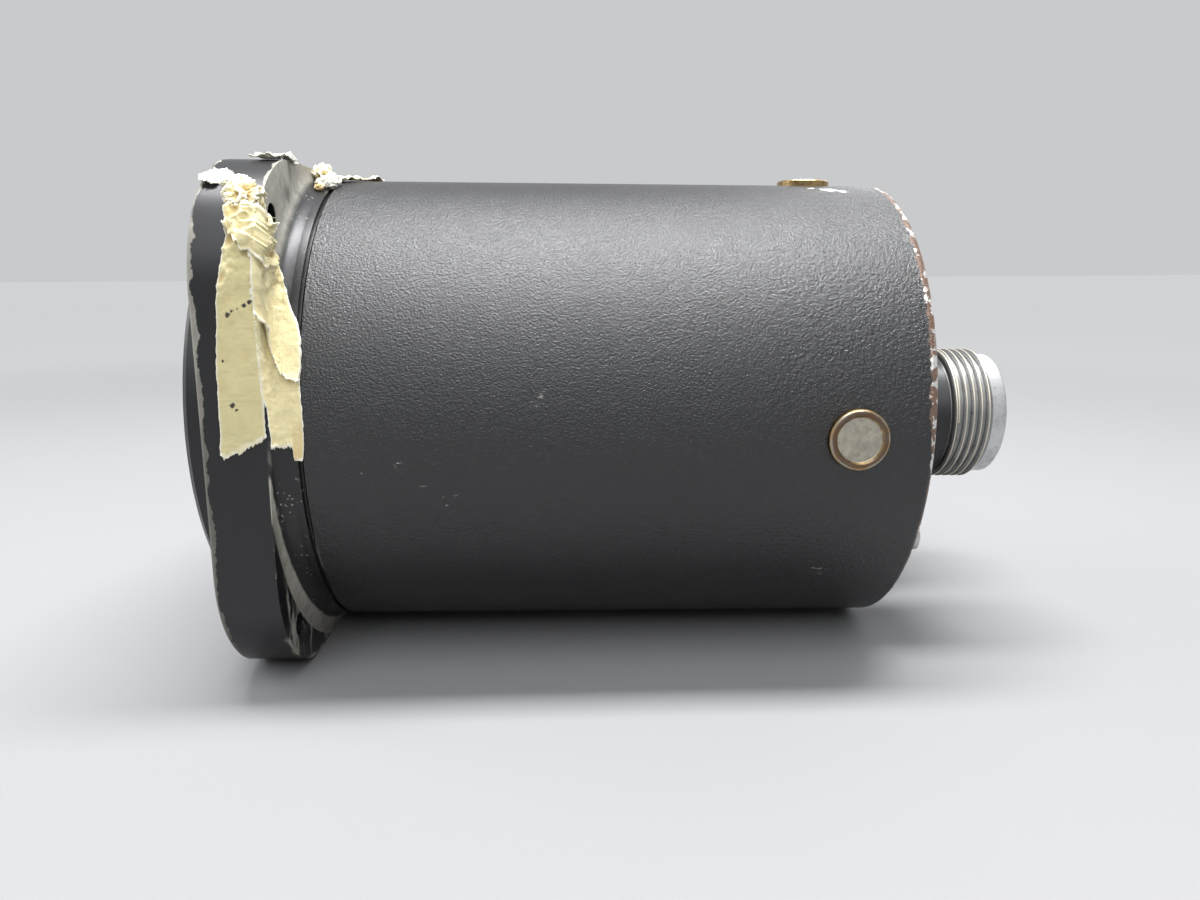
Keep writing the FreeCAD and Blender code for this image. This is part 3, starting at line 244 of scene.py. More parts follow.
class Finish(Nodes):
    """One material with a principled surface."""

    def __init__(self, name, **surface):
        self.material = bpy.data.materials.new(name)
        self.material.use_nodes = True
        super().__init__(self.material.node_tree)
        self.surface = self.tree.nodes["Principled BSDF"]
        self.fill(self.surface, surface)
        self.place = self.add("ShaderNodeTexCoord", output="Object")

    def vector(self, operation, *values, output=0):
        return self.add("ShaderNodeVectorMath", dict(enumerate(values)), output, operation=operation)

    def stretched(self, factors):
        return self.vector("MULTIPLY", self.place, factors)

    def parts_of(self, place=None):
        outputs = self.outputs_of("ShaderNodeSeparateXYZ", {0: place or self.place})
        return [Value(self, socket) for socket in outputs]

    def radius(self):
        """Distance from the instrument's axis."""
        return self.vector("LENGTH", self.stretched((1, 0, 1)), output=1)

    def cloud(self, size, detail=3.0, rough=0.5, warp=0.0, place=None, seed=0.0):
        """Noise from 0 to 1 whose lumps are about as large as size."""
        inputs = {"Vector": place or self.place, "W": seed, "Scale": 0.5 / size, "Detail": detail,
                  "Roughness": rough, "Distortion": warp}
        return self.add("ShaderNodeTexNoise", inputs, noise_dimensions="4D")

    def cells(self, size, place=None, feature="F1"):
        inputs = {"Vector": place or self.place, "Scale": 1 / size}
        return self.add("ShaderNodeTexVoronoi", inputs, "Distance", feature=feature)

    def blend(self, factor, first, second):
        return self.add("ShaderNodeMix", {0: factor, 2: first, 3: second}, data_type="FLOAT")

    def layered(self, shade, *coats):
        """Colour under coats, each (mask, colour)."""
        for mask, colour in coats:
            shade = self.mixed(mask, shade, colour)
        return shade

    def spots(self, ragged, *places):
        """Ragged patches round points, each (x, y, z, reach) in millimetres."""
        masks = [(self.vector("DISTANCE", self.place, Vector(centre) * MM, output=1) + ragged)
                 .fall(reach * MM * 0.8, reach * MM) for *centre, reach in places]
        return functools.reduce(Value.__or__, masks)

    def use(self, height=None, depth=0.0, strength=1.0, **surface):
        """Finish the surface, with a relief where a height is given, and return the material."""
        if height:
            relief = {"Height": height, "Distance": depth, "Strength": strength}
            surface["Normal"] = self.add("ShaderNodeBump", relief)
        self.fill(self.surface, surface)
        return self.material


def case_enamel():
    """Black wrinkle enamel: leather grain that is bolder towards the back, worn at both rims."""
    finish = Finish("case_enamel", Specular_IOR_Level=0.65)
    colours = settings().colours
    along, up = finish.parts_of()[1:]
    place = finish.stretched((1.0, 0.85, 1.0))
    grain = finish.cloud(0.12 * MM, 2.0, 0.6, 0.3, place)
    bold = along.ramp(CASE_BACK - 32 * MM, CASE_BACK - 22 * MM)
    pebbles = finish.blend(bold, finish.cells(0.36 * MM, place, "SMOOTH_F1") * 0.5,
                           finish.cells(0.5 * MM, place, "SMOOTH_F1") * 0.6)
    broad, fine = finish.cloud(9 * MM, 3.0, 0.6), finish.cloud(0.25 * MM, 2.0)

    rubbed = up.ramp(-8 * MM, 6 * MM, -0.75 * MM, 0.15 * MM)
    ragged_edge = finish.cloud(1.1 * MM, 4.0, 0.7) * (2.2 * MM) + rubbed
    back = (along + ragged_edge).ramp(CASE_BACK - 0.2 * MM, CASE_BACK)
    polished = back * finish.cloud(0.9 * MM, 4.0, 0.65, seed=3.0).ramp(0.52, 0.57)
    front_chip = finish.cloud(1.4 * MM, 4.0, 0.7, seed=5.0) * (0.5 * MM)
    front = ((along - front_chip).fall(CASE_FRONT, CASE_FRONT + 0.16 * MM)
             * finish.cloud(5 * MM, 2.0, seed=7.0).ramp(0.46, 0.52) * up.fall(-20 * MM, -14 * MM))
    ragged = (finish.cloud(0.7 * MM, 4.0, 0.75) - 0.5) * (5.0 * MM)
    threads = finish.cloud(0.2 * MM, 3.0, 0.6, 0.5, finish.stretched((1.0, 0.3, 1.0)))
    faint = finish.spots(
        ragged, (38.7, 48.0, 6.0, 1.2), (38.6, 33.5, -9.6, 1.0), (38.4, 36.1, -9.0, 0.9),
        (38.9, 27.6, -4.5, 0.8), (38.4, 30.8, -7.4, 0.7), (31.7, 92.2, -23.0, 1.5),
        (-36.0, 30.0, 15.0, 1.2), (-30.0, 70.0, -25.0, 1.6), (-20.0, 88.0, 33.5, 1.2))
    chipped = finish.spots(ragged, (11.6, 98.6, 37.5, 1.0), (9.0, 94.4, 38.2, 0.7), (10.4, 96.6, 37.8, 1.4))
    scuffs = faint * threads.ramp(0.55, 0.68, 0.0, 0.5) | chipped * fine.ramp(0.3, 0.5)
    specks = finish.cells(3.4 * MM).fall(0.0, 0.07) * finish.cloud(7 * MM, seed=9.0).ramp(0.56, 0.62)

    metal = finish.layered(colours.primer, (fine, shaded(colours.primer, 0.45)), (polished, colours.bright))
    shade = finish.layered(
        colours.enamel, (broad, shaded(colours.enamel, 1.6)), (scuffs | specks * 0.35, colours.bright),
        (back, metal), (front, shaded(colours.bare, 0.35)))
    roughness = finish.blend(broad, 0.26, 0.31)
    return finish.use(grain - pebbles, 0.15 * MM, Base_Color=shade, Metallic=polished * 0.8,
                      Roughness=finish.blend(back, roughness, 0.55))


def flange_enamel():
    """Smoother black enamel on the casting, chipped along its edges and bare round the near upper corner."""
    finish = Finish("flange_enamel", Specular_IOR_Level=0.5)
    colours, sizes = settings().colours, settings().flange
    across, along, up = finish.parts_of()
    inset = FLANGE_HALF - sizes.corner
    beyond = finish.vector("SUBTRACT", finish.vector("ABSOLUTE", finish.place), (inset, 0, inset))
    beyond = finish.vector("MULTIPLY", finish.vector("MAXIMUM", beyond, (0, 0, 0)), (1, 0, 1))
    edge = finish.vector("LENGTH", beyond, output=1) - sizes.corner
    wander = (finish.cloud(2.2 * MM, 5.0, 0.7) - 0.5) * (3.4 * MM)

    def chipped(edge_along, reach, share):
        off = along - edge_along
        distance = finish.math("SQRT", edge * edge + off * off)
        patches = finish.cloud(9 * MM, 2.0, seed=share * 20).ramp(0.62 - share, 0.66 - share)
        return (distance + wander).fall(reach * 0.8, reach) * patches

    radius = finish.radius()
    behind = along.ramp(sizes.thick - 0.2 * MM, sizes.thick - 0.05 * MM)
    off_band = abs(radius - (CASE_RADIUS + sizes.flare * 0.85))
    widening = up.ramp(-FLANGE_HALF * 0.85, 0.0, 1.5 * MM, 0.6 * MM)
    band = (off_band + wander * 0.22 - widening).fall(-0.2 * MM, 0.1 * MM)
    streaks = finish.cloud(1.3 * MM, 4.0, 0.6, place=finish.stretched((1.0, 1.0, 0.28)))
    streaked = (up.ramp(-FLANGE_HALF * 0.75, -FLANGE_HALF * 0.3, 1.0, 0.3) * streaks.ramp(0.5, 0.6)
                * radius.ramp(CASE_RADIUS + 0.9 * MM, CASE_RADIUS + 1.4 * MM))
    lower = up.fall(-1.0 * MM, 2.0 * MM)
    corner_bare = ((up + wander * 2.0).ramp(15 * MM, 19 * MM)
                   * (radius + wander * 0.25).ramp(CASE_RADIUS + 0.5 * MM, CASE_RADIUS + 1.5 * MM)
                   * streaks.ramp(0.66, 0.5, 0.45, 1.0))
    behind_bare = behind * ((band | streaked) * lower | corner_bare * across.ramp(0.0, 6 * MM))
    specks = (finish.cells(0.75 * MM).fall(0.12, 0.26)
              * finish.cloud(1.8 * MM, 3.0, seed=2.0).ramp(0.5, 0.58) * behind)
    rubbed = (finish.cloud(5 * MM, 6.0, 0.72, seed=4.0).ramp(0.68, 0.72)
              * radius.ramp(CASE_RADIUS + 0.2 * MM, CASE_RADIUS + 1.2 * MM, 0.08, 0.55))
    chips = chipped(0.0, 0.8 * MM, 0.26) | chipped(sizes.thick, 0.5 * MM, 0.13)
    bare = chips | behind_bare | specks * 0.8 | rubbed

    tint = finish.cloud(1.8 * MM, 5.0, 0.65)
    metal = finish.mixed(tint.ramp(0.35, 0.7), shaded(colours.bare, 0.62), colours.bare)
    # Bare metal at the front of the flange is darker towards the bottom.
    darker_low = up.ramp(-4 * MM, 14 * MM, 0.8, 0.3) * (1.0 - behind)
    metal = finish.mixed(darker_low, metal, DARK_METAL)
    painted = finish.mixed(finish.cloud(6 * MM, 3.0), colours.enamel, shaded(colours.enamel, 1.7))
    height = finish.cloud(0.3 * MM, 3.0) * 0.25 + bare * -0.6
    return finish.use(height, 0.07 * MM, 0.6, Base_Color=finish.mixed(bare, painted, metal),
                      Roughness=finish.blend(bare, 0.36, 0.6))


def cover_enamel():
    """Thin enamel on the rear cover, rubbed where tools and plugs have been."""
    finish = Finish("cover_enamel")
    colours = settings().colours
    rubbed = finish.cloud(4 * MM, 6.0, 0.72).ramp(0.6, 0.66)
    ragged = finish.cloud(2 * MM, 4.0) * (1.5 * MM)
    rim = (finish.radius() + ragged).ramp(CASE_RADIUS - 1.9 * MM, CASE_RADIUS - 1.2 * MM)
    bare = rubbed * 0.6 | rim
    return finish.use(finish.cloud(0.35 * MM, 2.0, 0.55, 0.8), 0.08 * MM, 0.5,
                      Base_Color=finish.mixed(bare, shaded(colours.enamel, 1.3), colours.primer),
                      Roughness=finish.blend(bare, 0.5, 0.65))


def brushed(name, shade, roughness=0.34, metallic=1.0, tarnish=0.35, lines=(1.0, 14.0, 1.0)):
    """Machined or drawn metal with fine lines, fingerprints and a little tarnish."""
    finish = Finish(name, Metallic=metallic)
    scratch = finish.cloud(0.35 * MM, 3.0, 0.6, place=finish.stretched(lines))
    dull = finish.cloud(2.4 * MM, 5.0, 0.65).ramp(0.45, 0.75)
    base = finish.mixed(dull * tarnish, shade, shaded(shade, 0.35))
    return finish.use(scratch, 0.02 * MM, 0.35,
                      Base_Color=finish.mixed(scratch * 0.3, base, shaded(shade, 1.2)),
                      Roughness=finish.blend(dull, roughness, min(1, roughness + 0.25)))


def plug_metal():
    """Nickel plated dish whose rim is worn to brass, with painted shade in dark brown in the corner between
    dish and rim.
    """
    finish = Finish("plug_metal", Metallic=1.0)
    colours = settings().colours
    across, _, up = finish.parts_of()
    aside = finish.vector("SUBTRACT", finish.place, (0, PLUG_ALONG, 0))
    squares = finish.parts_of(finish.vector("MULTIPLY", aside, aside))
    radius = finish.math("SQRT", finish.math("MINIMUM", squares[0], squares[2]) + squares[1])
    mottle = finish.cloud(0.9 * MM, 5.0, 0.7)
    ragged = (mottle - 0.5) * (0.9 * MM)
    rim = radius.ramp(PLUG_RADIUS - 1.25 * MM, PLUG_RADIUS - 1.1 * MM)
    # Painted shade: the corner between the dish and the rim is darkened to dark brown all round.
    corner = (radius.ramp(PLUG_RADIUS - 1.1 * MM, PLUG_RADIUS - 0.85 * MM)
              * (radius + ragged * 0.35).fall(PLUG_RADIUS - 0.45 * MM, PLUG_RADIUS - 0.22 * MM))
    crest = (abs(across) | up).ramp(PLUG_TOP - 0.18 * MM, PLUG_TOP - 0.02 * MM)
    dish = finish.mixed(mottle.ramp(0.35, 0.7), colours.nickel, shaded(colours.nickel, 0.62))
    ring = finish.mixed(mottle.ramp(0.4, 0.62), colours.brass, shaded(colours.brass, 0.42))
    ring = finish.mixed(crest * mottle.ramp(0.42, 0.6, 0.05, 0.5), ring, colours.bright)
    shade = finish.mixed(rim, dish, ring)
    # The corner's painted shade is mixed in here.
    shade = finish.mixed(corner * 0.86, shade, shaded(colours.primer, 0.6))
    return finish.use(mottle, 0.05 * MM, 0.4, Base_Color=shade, Roughness=finish.blend(rim, 0.5, 0.33))


def shell_metal():
    """Turned aluminium of the receptacles: black neck, patchy dirt, painted shade in the thread roots and a
    painted highlight along the crests.
    """
    finish = Finish("shell_metal")
    colours, sizes = settings().colours, settings().receptacle
    across, along, up = finish.parts_of()
    off_axis = finish.add("ShaderNodeCombineXYZ", {0: abs(across) - RECEPTACLE_ACROSS, 2: up})
    radius = finish.vector("LENGTH", off_axis, output=1)
    start, end = SHELL_BACK - sizes.thread_start, SHELL_BACK - sizes.thread_end
    neck = along.fall(start - 0.25 * MM, start - 0.1 * MM)
    threaded = along.fall(end + 0.1 * MM, end + 0.2 * MM)
    # Painted highlight: the thread's crests are made light tan.
    crest = radius.ramp(sizes.thread_radius - 0.16 * MM, sizes.thread_radius - 0.04 * MM)
    # Painted shade: the thread roots are darkened.
    root = (radius.ramp(sizes.thread_radius - 0.66 * MM, sizes.thread_radius - 0.36 * MM, 0.6, 0.0)
            * threaded * radius.ramp(sizes.bore_radius, sizes.neck_radius))
    stain = finish.cloud(1.2 * MM, 5.0, 0.7)
    grime = finish.cloud(0.6 * MM, 4.0, 0.7, seed=2.0).ramp(0.55, 0.72)
    turned = finish.cloud(0.16 * MM, 2.0, place=finish.stretched((0.12, 1.0, 0.12)))
    shade = finish.layered(
        colours.shell, (stain.ramp(0.4, 0.75), shaded(colours.shell, 0.7)),
        # The darkest colour, in the thread roots, is painted shade.
        (grime * 0.5, (0.07, 0.065, 0.055)), (root, (0.11, 0.105, 0.09)),
        # The light tan on the crests is a painted highlight.
        (crest * threaded, (0.66, 0.61, 0.5)), (neck, shaded(colours.enamel, 2)))
    return finish.use(turned, 0.02 * MM, 0.4, Metallic=(1.0 - neck) * 0.9, Base_Color=shade,
                      Roughness=finish.blend(stain, 0.32, 0.5))


def moulded(name, shade, roughness=0.5, grain=0.3 * MM, depth=0.03 * MM):
    """Moulded plastic, rubber or lacquer with a fine uneven skin."""
    finish = Finish(name)
    broad = finish.cloud(3 * MM, 4.0)
    return finish.use(finish.cloud(grain, 3.0), depth, 0.5,
                      Base_Color=finish.mixed(broad, shade, shaded(shade, 1.5, 0.004)),
                      Roughness=finish.blend(broad, roughness, min(1, roughness + 0.15)))


def tape_paper():
    """Old crepe masking tape: dry yellow paper with cross wrinkles, dark specks and whitened torn edges."""
    finish = Finish("tape_paper", Specular_IOR_Level=0.35, Sheen_Weight=0.15, Roughness=0.72)
    colours = settings().colours
    crepe = finish.cloud(0.3 * MM, 3.0, 0.6, 0.4, finish.stretched((1.0, 0.14, 1.0)))
    folds = finish.cloud(2.2 * MM, 4.0, 0.6, 0.8)
    torn, crease_shade_and_stain, dull = [finish.add("ShaderNodeAttribute", output="Fac", attribute_name=name)
                        for name in ("torn", "crease_shade_and_stain", "dull")]
    pricks = finish.spots(
        finish.cloud(0.22 * MM, 3.0) * (0.65 * MM),
        (40.5, 5.4, 17.8, 0.85), (40.5, 6.0, 18.3, 0.75), (40.5, 6.8, 18.6, 0.7),
        (40.5, 7.6, 19.0, 0.75), (40.5, 8.4, 19.5, 0.7), (40.5, 5.0, 5.2, 0.75),
        (40.5, 5.6, 4.5, 0.6), (40.5, 4.2, 11.4, 0.55), (40.5, 7.9, 10.2, 0.5))
    stained = finish.cloud(3.2 * MM, 3.0, 0.6, seed=6.0).ramp(0.5, 0.72)
    specks = (finish.cells(0.75 * MM).fall(0.05, 0.3)
              * finish.cloud(2.4 * MM, 2.0, seed=8.0).ramp(0.6, 0.68))
    shade = finish.layered(
        colours.tape, (folds.ramp(0.3, 0.75), shaded(colours.tape, 0.78)),
        (stained * 0.45, (0.52, 0.43, 0.26)), (dull * 0.6, (0.6, 0.53, 0.27)),
        # Brown here is painted shade in the creases of the crumpled tape, and stain where the tape is
        # browned.
        (crepe.ramp(0.48, 0.7, 0.0, 0.38), (0.5, 0.44, 0.25)), (crease_shade_and_stain * 0.6, (0.56, 0.34, 0.1)),
        (torn, colours.tape_torn), (specks * 0.6 | pricks, (0.05, 0.04, 0.035)))
    return finish.use(crepe * 0.4 + folds, 0.22 * MM, 0.7, Base_Color=shade)


def clear_glass():
    """Cover glass with a trace of dust."""
    finish = Finish("clear_glass", Transmission_Weight=0.96, IOR=1.5, Base_Color=(0.96, 0.98, 0.97))
    return finish.use(Roughness=finish.cloud(2 * MM, 6.0, 0.75).ramp(0.5, 0.8, 0.01, 0.12))


def studio_floor():
    """Pale floor that fades into the backdrop, and lights nothing there."""
    finish = Finish("studio_floor", Roughness=0.9)
    colours = settings().colours
    far = finish.vector("LENGTH", finish.place, output=1).ramp(0.16, 0.62) * finish.seen()
    return finish.use(Base_Color=finish.mixed(far, colours.floor, (0.0, 0.0, 0.0)),
                      Emission_Color=colours.backdrop, Emission_Strength=far)


def placed(name, data):
    """New object in the scene."""
    item = bpy.data.objects.new(name, data)
    bpy.context.scene.collection.objects.link(item)
    return item


def dress(material, *nodes):
    """Give construction nodes this material."""
    for node in nodes:
        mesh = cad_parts[node].data
        mesh.materials.clear()
        mesh.materials.append(material)


def both_sides(*parts):
    return [f"{side}_{part}" for side in ("left", "right") for part in parts]


def mesh_piece(name, build, material, smooth=math.radians(38)):
    """New piece from a function that fills a bmesh."""
    mesh = bpy.data.meshes.new(name)
    shape = bmesh.new()
    build(shape)
    bmesh.ops.remove_doubles(shape, verts=shape.verts, dist=1e-7)
    bmesh.ops.recalc_face_normals(shape, faces=shape.faces)
    shape.to_mesh(mesh)
    shape.free()
    mesh.shade_smooth()
    mesh.set_sharp_from_angle(angle=smooth)
    mesh.materials.append(material)
    piece = placed(name, mesh)
    return piece


def softened(profile, radius, steps=3):
    """Closed profile whose corners are rounded by short arcs."""
    result = []
    count = len(profile)
    for index in range(count):
        corner = Vector(profile[index])
        before = Vector(profile[index - 1]) - corner
        after = Vector(profile[(index + 1) % count]) - corner
        reach = min(radius, before.length * 0.4, after.length * 0.4)
        start, end = corner + before.normalized() * reach, corner + after.normalized() * reach
        for step in range(steps + 1):
            share = step / steps
            result.append(start.lerp(corner, share).lerp(corner.lerp(end, share), share))
    return result


def turn_profile(shape, profile, across=0.0, steps=192):
    """Sweep a closed (radius, along) profile round an axis parallel to Y."""
    rings = []
    for step in range(steps):
        angle = 2 * math.pi * step / steps
        rings.append([shape.verts.new((across + radius * math.cos(angle), along, radius * math.sin(angle)))
                      for radius, along in profile])
    for step in range(steps):
        here, there = rings[step], rings[(step + 1) % steps]
        for index in range(len(profile)):
            after = (index + 1) % len(profile)
            shape.faces.new((here[index], here[after], there[after], there[index]))


class ShapeTree(Nodes):
    """Geometry nodes with named inputs."""

    def __init__(self, name, **inputs):
        super().__init__(bpy.data.node_groups.new(name, "GeometryNodeTree"))
        labels = [label.replace("_", " ").capitalize() for label in inputs]
        for label, default in zip(labels, inputs.values()):
            kind = "NodeSocketInt" if isinstance(default, int) else "NodeSocketFloat"
            self.tree.interface.new_socket(label, in_out="INPUT", socket_type=kind).default_value = default
        self.tree.interface.new_socket("Geometry", in_out="OUTPUT", socket_type="NodeSocketGeometry")
        given = self.outputs_of("NodeGroupInput")
        self.given = [Value(self, given[label]) for label in labels]

    def end(self, geometry, material):
        """End in Realize Instances and Set Material; returns the tree."""
        real = self.add("GeometryNodeRealizeInstances", {0: geometry})
        last = self.add("GeometryNodeSetMaterial", {"Geometry": real, "Material": material})
        self.outputs_of("NodeGroupOutput", {0: last})
        return self.tree


def baked_tree(name, tree, material):
    """Run a tree on an empty mesh and keep the result as a plain mesh piece."""
    carrier = placed(name + "_carrier", bpy.data.meshes.new(name + "_carrier"))
    modifier = carrier.modifiers.new("shape", "NODES")
    modifier.node_group = tree
    bpy.context.view_layer.update()
    evaluated = carrier.evaluated_get(bpy.context.evaluated_depsgraph_get())
    mesh = bpy.data.meshes.new_from_object(evaluated)
    mesh.name = name
    if not mesh.materials:
        mesh.materials.append(material)
    carrier.modifiers.remove(modifier)
    bpy.data.objects.remove(carrier)
    piece = placed(name, mesh)
    return piece


def thread_tree(material, across, start, end):
    """Helical ridge of a receptacle's thread, on the right-hand turn."""
    sizes = settings().receptacle
    shape = ShapeTree("receptacle_thread", pitch=sizes.pitch, crest_radius=sizes.thread_radius,
                      depth=sizes.thread_depth, length=end - start - sizes.pitch / 2)
    pitch, crest, depth, run = shape.given
    root = crest - depth
    helix = shape.add("GeometryNodeCurveSpiral", {
        "Resolution": 96, "Rotations": run / pitch, "Start Radius": root, "End Radius": root, "Height": run})
    helix = shape.add("GeometryNodeSetCurveNormal", {"Curve": helix}, mode="Z_UP")
    ridge = shape.add("GeometryNodeCurvePrimitiveQuadrilateral", {
        "Bottom Width": 0.98 * sizes.pitch, "Top Width": 0.14 * sizes.pitch,
        "Height": 2 * sizes.thread_depth, "Offset": 0.0}, mode="TRAPEZOID")
    rounded = shape.add("GeometryNodeFilletCurve", {
        "Curve": ridge, "Radius": 0.06 * MM, "Count": 2}, mode="POLY")
    outward = shape.add("GeometryNodeTransform", {"Geometry": rounded, "Rotation": (0.0, 0.0, math.pi / 2)})
    band = shape.add("GeometryNodeCurveToMesh", {"Curve": helix, "Profile Curve": outward, "Fill Caps": True})
    return shape.end(shape.add("GeometryNodeTransform", {
        "Geometry": band, "Rotation": (-math.pi / 2, 0, 0),
        "Translation": (across, start + sizes.pitch / 2, 0)}), material)


def tick_tree(material, name, count, tall, wide, thick):
    """Ticks of the scale: one bar, repeated round the dial's axis."""
    sizes = settings().dial
    shape = ShapeTree(name, ticks=count, sweep=sizes.sweep, outer_radius=sizes.scale_radius,
                      tick_length=tall, tick_width=wide)
    ticks, sweep, outer, tall, wide = shape.given
    line = shape.add("GeometryNodeMeshLine", {
        "Count": ticks, "Start Location": (0.0, DIAL_FRONT - thick / 2, 0.0),
        "Offset": (0.0, 0.0, 0.0)}, mode="OFFSET")
    angle = shape.add("GeometryNodeInputIndex") * (sweep / (ticks - 1.0)) - sweep * 0.5
    size = shape.add("ShaderNodeCombineXYZ", {0: wide, 1: thick, 2: tall})
    bar = shape.add("GeometryNodeMeshCube", {"Size": size})
    shift = shape.add("ShaderNodeCombineXYZ", {2: outer + tall * -0.5})
    bar = shape.add("GeometryNodeTransform", {"Geometry": bar, "Translation": shift})
    turn = shape.add("ShaderNodeCombineXYZ", {1: angle})
    return shape.end(shape.add("GeometryNodeInstanceOnPoints", {
        "Points": line, "Instance": bar, "Rotation": turn}), material)


def rounded_reach(angle, half, corner):
    """Distance from the middle of a square with round corners to its outline, in one direction."""
    inset = half - corner
    across, up = abs(math.cos(angle)), abs(math.sin(angle))
    reach = half / max(across, up)
    if min(across, up) * reach <= inset:
        return reach
    towards = inset * (across + up)
    return towards + math.sqrt(towards ** 2 - 2 * inset ** 2 + corner ** 2)


def flange_path(angle):
    """Back of the flange in one direction, from its edge to the case, as (radius, along) points."""
    sizes = settings().flange
    reach = rounded_reach(angle, FLANGE_HALF, sizes.corner)
    centre_radius, centre_along = CASE_RADIUS + sizes.flare, sizes.thick + sizes.flare
    points = [Vector((reach, sizes.thick))] if reach >= centre_radius else []
    first_turn = 0.0 if points else math.asin((centre_radius - reach) / sizes.flare)
    for step in range(9):
        turn = first_turn + (math.pi / 2 - first_turn) * step / 8
        points.append(Vector((centre_radius - sizes.flare * math.sin(turn),
                              centre_along - sizes.flare * math.cos(turn))))
    points.append(Vector((CASE_RADIUS, CASE_BACK)))
    return points


def flange_point(angle, travel, lift):
    """Point lifted off the flange at this angle, travel behind its back edge or, below zero, ahead of it."""
    points = flange_path(angle)
    spot = points[0] + Vector((lift, min(travel, 0.0) + lift * 0.4 * (travel > -lift)))
    for start, end in zip(points, points[1:]):
        run = (end - start).length
        if 0 < travel <= run:
            way = (end - start).normalized()
            spot = start + way * travel + Vector((way.y, -way.x)) * lift
            break
        travel -= run
    return Vector((spot.x * math.cos(angle), spot.y, spot.x * math.sin(angle)))


def between(stations, value):
    """Linear interpolation in a list of (value, result) stations."""
    for (low, first), (high, second) in zip(stations, stations[1:]):
        if value <= high:
            share = max(0.0, (value - low) / (high - low))
            return first + (second - first) * share
    return stations[-1][1]


def turbulence(point, size, octaves=4):
    return noise.fractal(point / size, 1.0, 2.0, octaves)


def make_stage():
    """Floor on which the flange and the case's back end rest, sky, lamps and the photograph's camera."""
    scene = bpy.context.scene
    sizes = settings().flange
    tilt = math.atan2(FLANGE_HALF - CASE_RADIUS, CASE_BACK - sizes.thick)
    mesh = bpy.data.meshes.new("floor")
    corners = [(x * FLOOR_REACH, y * FLOOR_REACH, 0) for x, y in ((-1, -1), (1, -1), (1, 1), (-1, 1))]
    mesh.from_pydata(corners, [], [(0, 1, 2, 3)])
    mesh.materials.append(studio_floor())
    floor = placed("floor", mesh)
    floor.location = (0, sizes.thick, -FLANGE_HALF)
    floor.rotation_euler = (tilt, 0, 0)

    scene.world = bpy.data.worlds.new("studio_sky")
    scene.world.use_nodes = True
    sky = Nodes(scene.world.node_tree)
    shade = sky.mixed(sky.seen(), SKY, settings().colours.backdrop)
    sky.fill(sky.tree.nodes["Background"], {"Color": shade})

    for name, place, wide, deep, power, tint in LAMPS:
        lamp = bpy.data.lights.new(name, "AREA")
        lamp.shape, lamp.size, lamp.size_y = "RECTANGLE", wide, deep
        lamp.energy, lamp.color = power, tint
        holder = placed(name, lamp)
        holder.location = place
        aim = AIM - Vector(place)
        if abs(aim.x) > 0.1 or abs(aim.y) > 0.1:
            holder.rotation_euler = aim.to_track_quat("-Z", "Y").to_euler()

    view = bpy.data.cameras.new("photograph_camera")
    view.sensor_width, view.lens, view.clip_start = 36.0, CAMERA_LENS, 0.005
    camera = placed("photograph_camera", view)
    columns = zip(CAMERA_RIGHT, CAMERA_UP, -CAMERA_AHEAD, CAMERA_PLACE)
    camera.matrix_world = Matrix([*columns, (0, 0, 0, 1)])
    scene.camera = camera
    scene.view_settings.view_transform = "Standard"


class TACH_OT_stage(bpy.types.Operator):
    """Set up the floor, the light and the camera"""
    bl_idname = "tachometer.stage"
    bl_label = "Stage"

    def execute(self, context):
        make_stage()
        return {"FINISHED"}


class TACH_OT_case(bpy.types.Operator):
    """Paint and wear the case, the flange and the rear cover"""
    bl_idname = "tachometer.case"
    bl_label = "Case"

    def execute(self, context):
        dress(case_enamel(), "case_tube")
        dress(flange_enamel(), "front_flange")
        dress(cover_enamel(), "rear_cover")
        dress(plug_metal(), "seal_plugs")
        seal = moulded("seal_rubber", (0.02, 0.02, 0.021), 0.7)
        dress(seal, "rear_cover_gasket", "receptacle_gaskets", "glass_gasket")
        screw = brushed("screw_steel", settings().colours.steel, 0.36, tarnish=0.6, lines=(1, 1, 1))
        dress(screw, "rear_cover_screws", "receptacle_screws", "dial_screws", "frame_screws",
              "movement_screws")
        return {"FINISHED"}


class TACH_OT_receptacles(bpy.types.Operator):
    """Build the threaded receptacle shells and finish their inserts and pins"""
    bl_idname = "tachometer.receptacles"
    bl_label = "Receptacles"

    def execute(self, context):
        sizes = settings().receptacle
        metal = shell_metal()
        start, end = SHELL_BACK - sizes.thread_start, SHELL_BACK - sizes.thread_end
        root = sizes.thread_radius - sizes.thread_depth
        low, high = SHELL_LOW.y, SHELL_BACK
        profile = softened([
            (sizes.bore_radius, low), (sizes.neck_radius, low), (sizes.neck_radius, start),
            (sizes.thread_radius - 0.3 * MM, start), (sizes.thread_radius, start + 0.25 * MM),
            (sizes.thread_radius, start + 0.4 * MM), (root, start + 0.75 * MM), (root, end - 0.2 * MM),
            (sizes.mouth_radius, end), (sizes.mouth_radius, high), (sizes.bore_radius, high)], 0.28 * MM)
        for side, sign in (("left", -1), ("right", 1)):
            across = sign * RECEPTACLE_ACROSS
            shell = mesh_piece(f"{side}_threaded_shell",
                               lambda shape: turn_profile(shape, profile, across, 128),
                               metal)
            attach(shell, "case")
            tree = thread_tree(metal, across, start, end)
            thread = baked_tree(f"{side}_receptacle_thread", tree, metal)
            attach(thread, "case")
            plate = mesh_piece(f"{side}_receptacle_flange", lambda shape: flange_plate(shape, across),
                               metal)
            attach(plate, "case")
            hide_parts(f"{side}_receptacle_shell")
        dress(moulded("insert_plastic", (0.028, 0.024, 0.02), 0.42),
              "left_receptacle_insert", "right_receptacle_insert")
        dress(brushed("contact_metal", (0.68, 0.6, 0.42), 0.25, tarnish=0.2), "receptacle_pins")
        return {"FINISHED"}


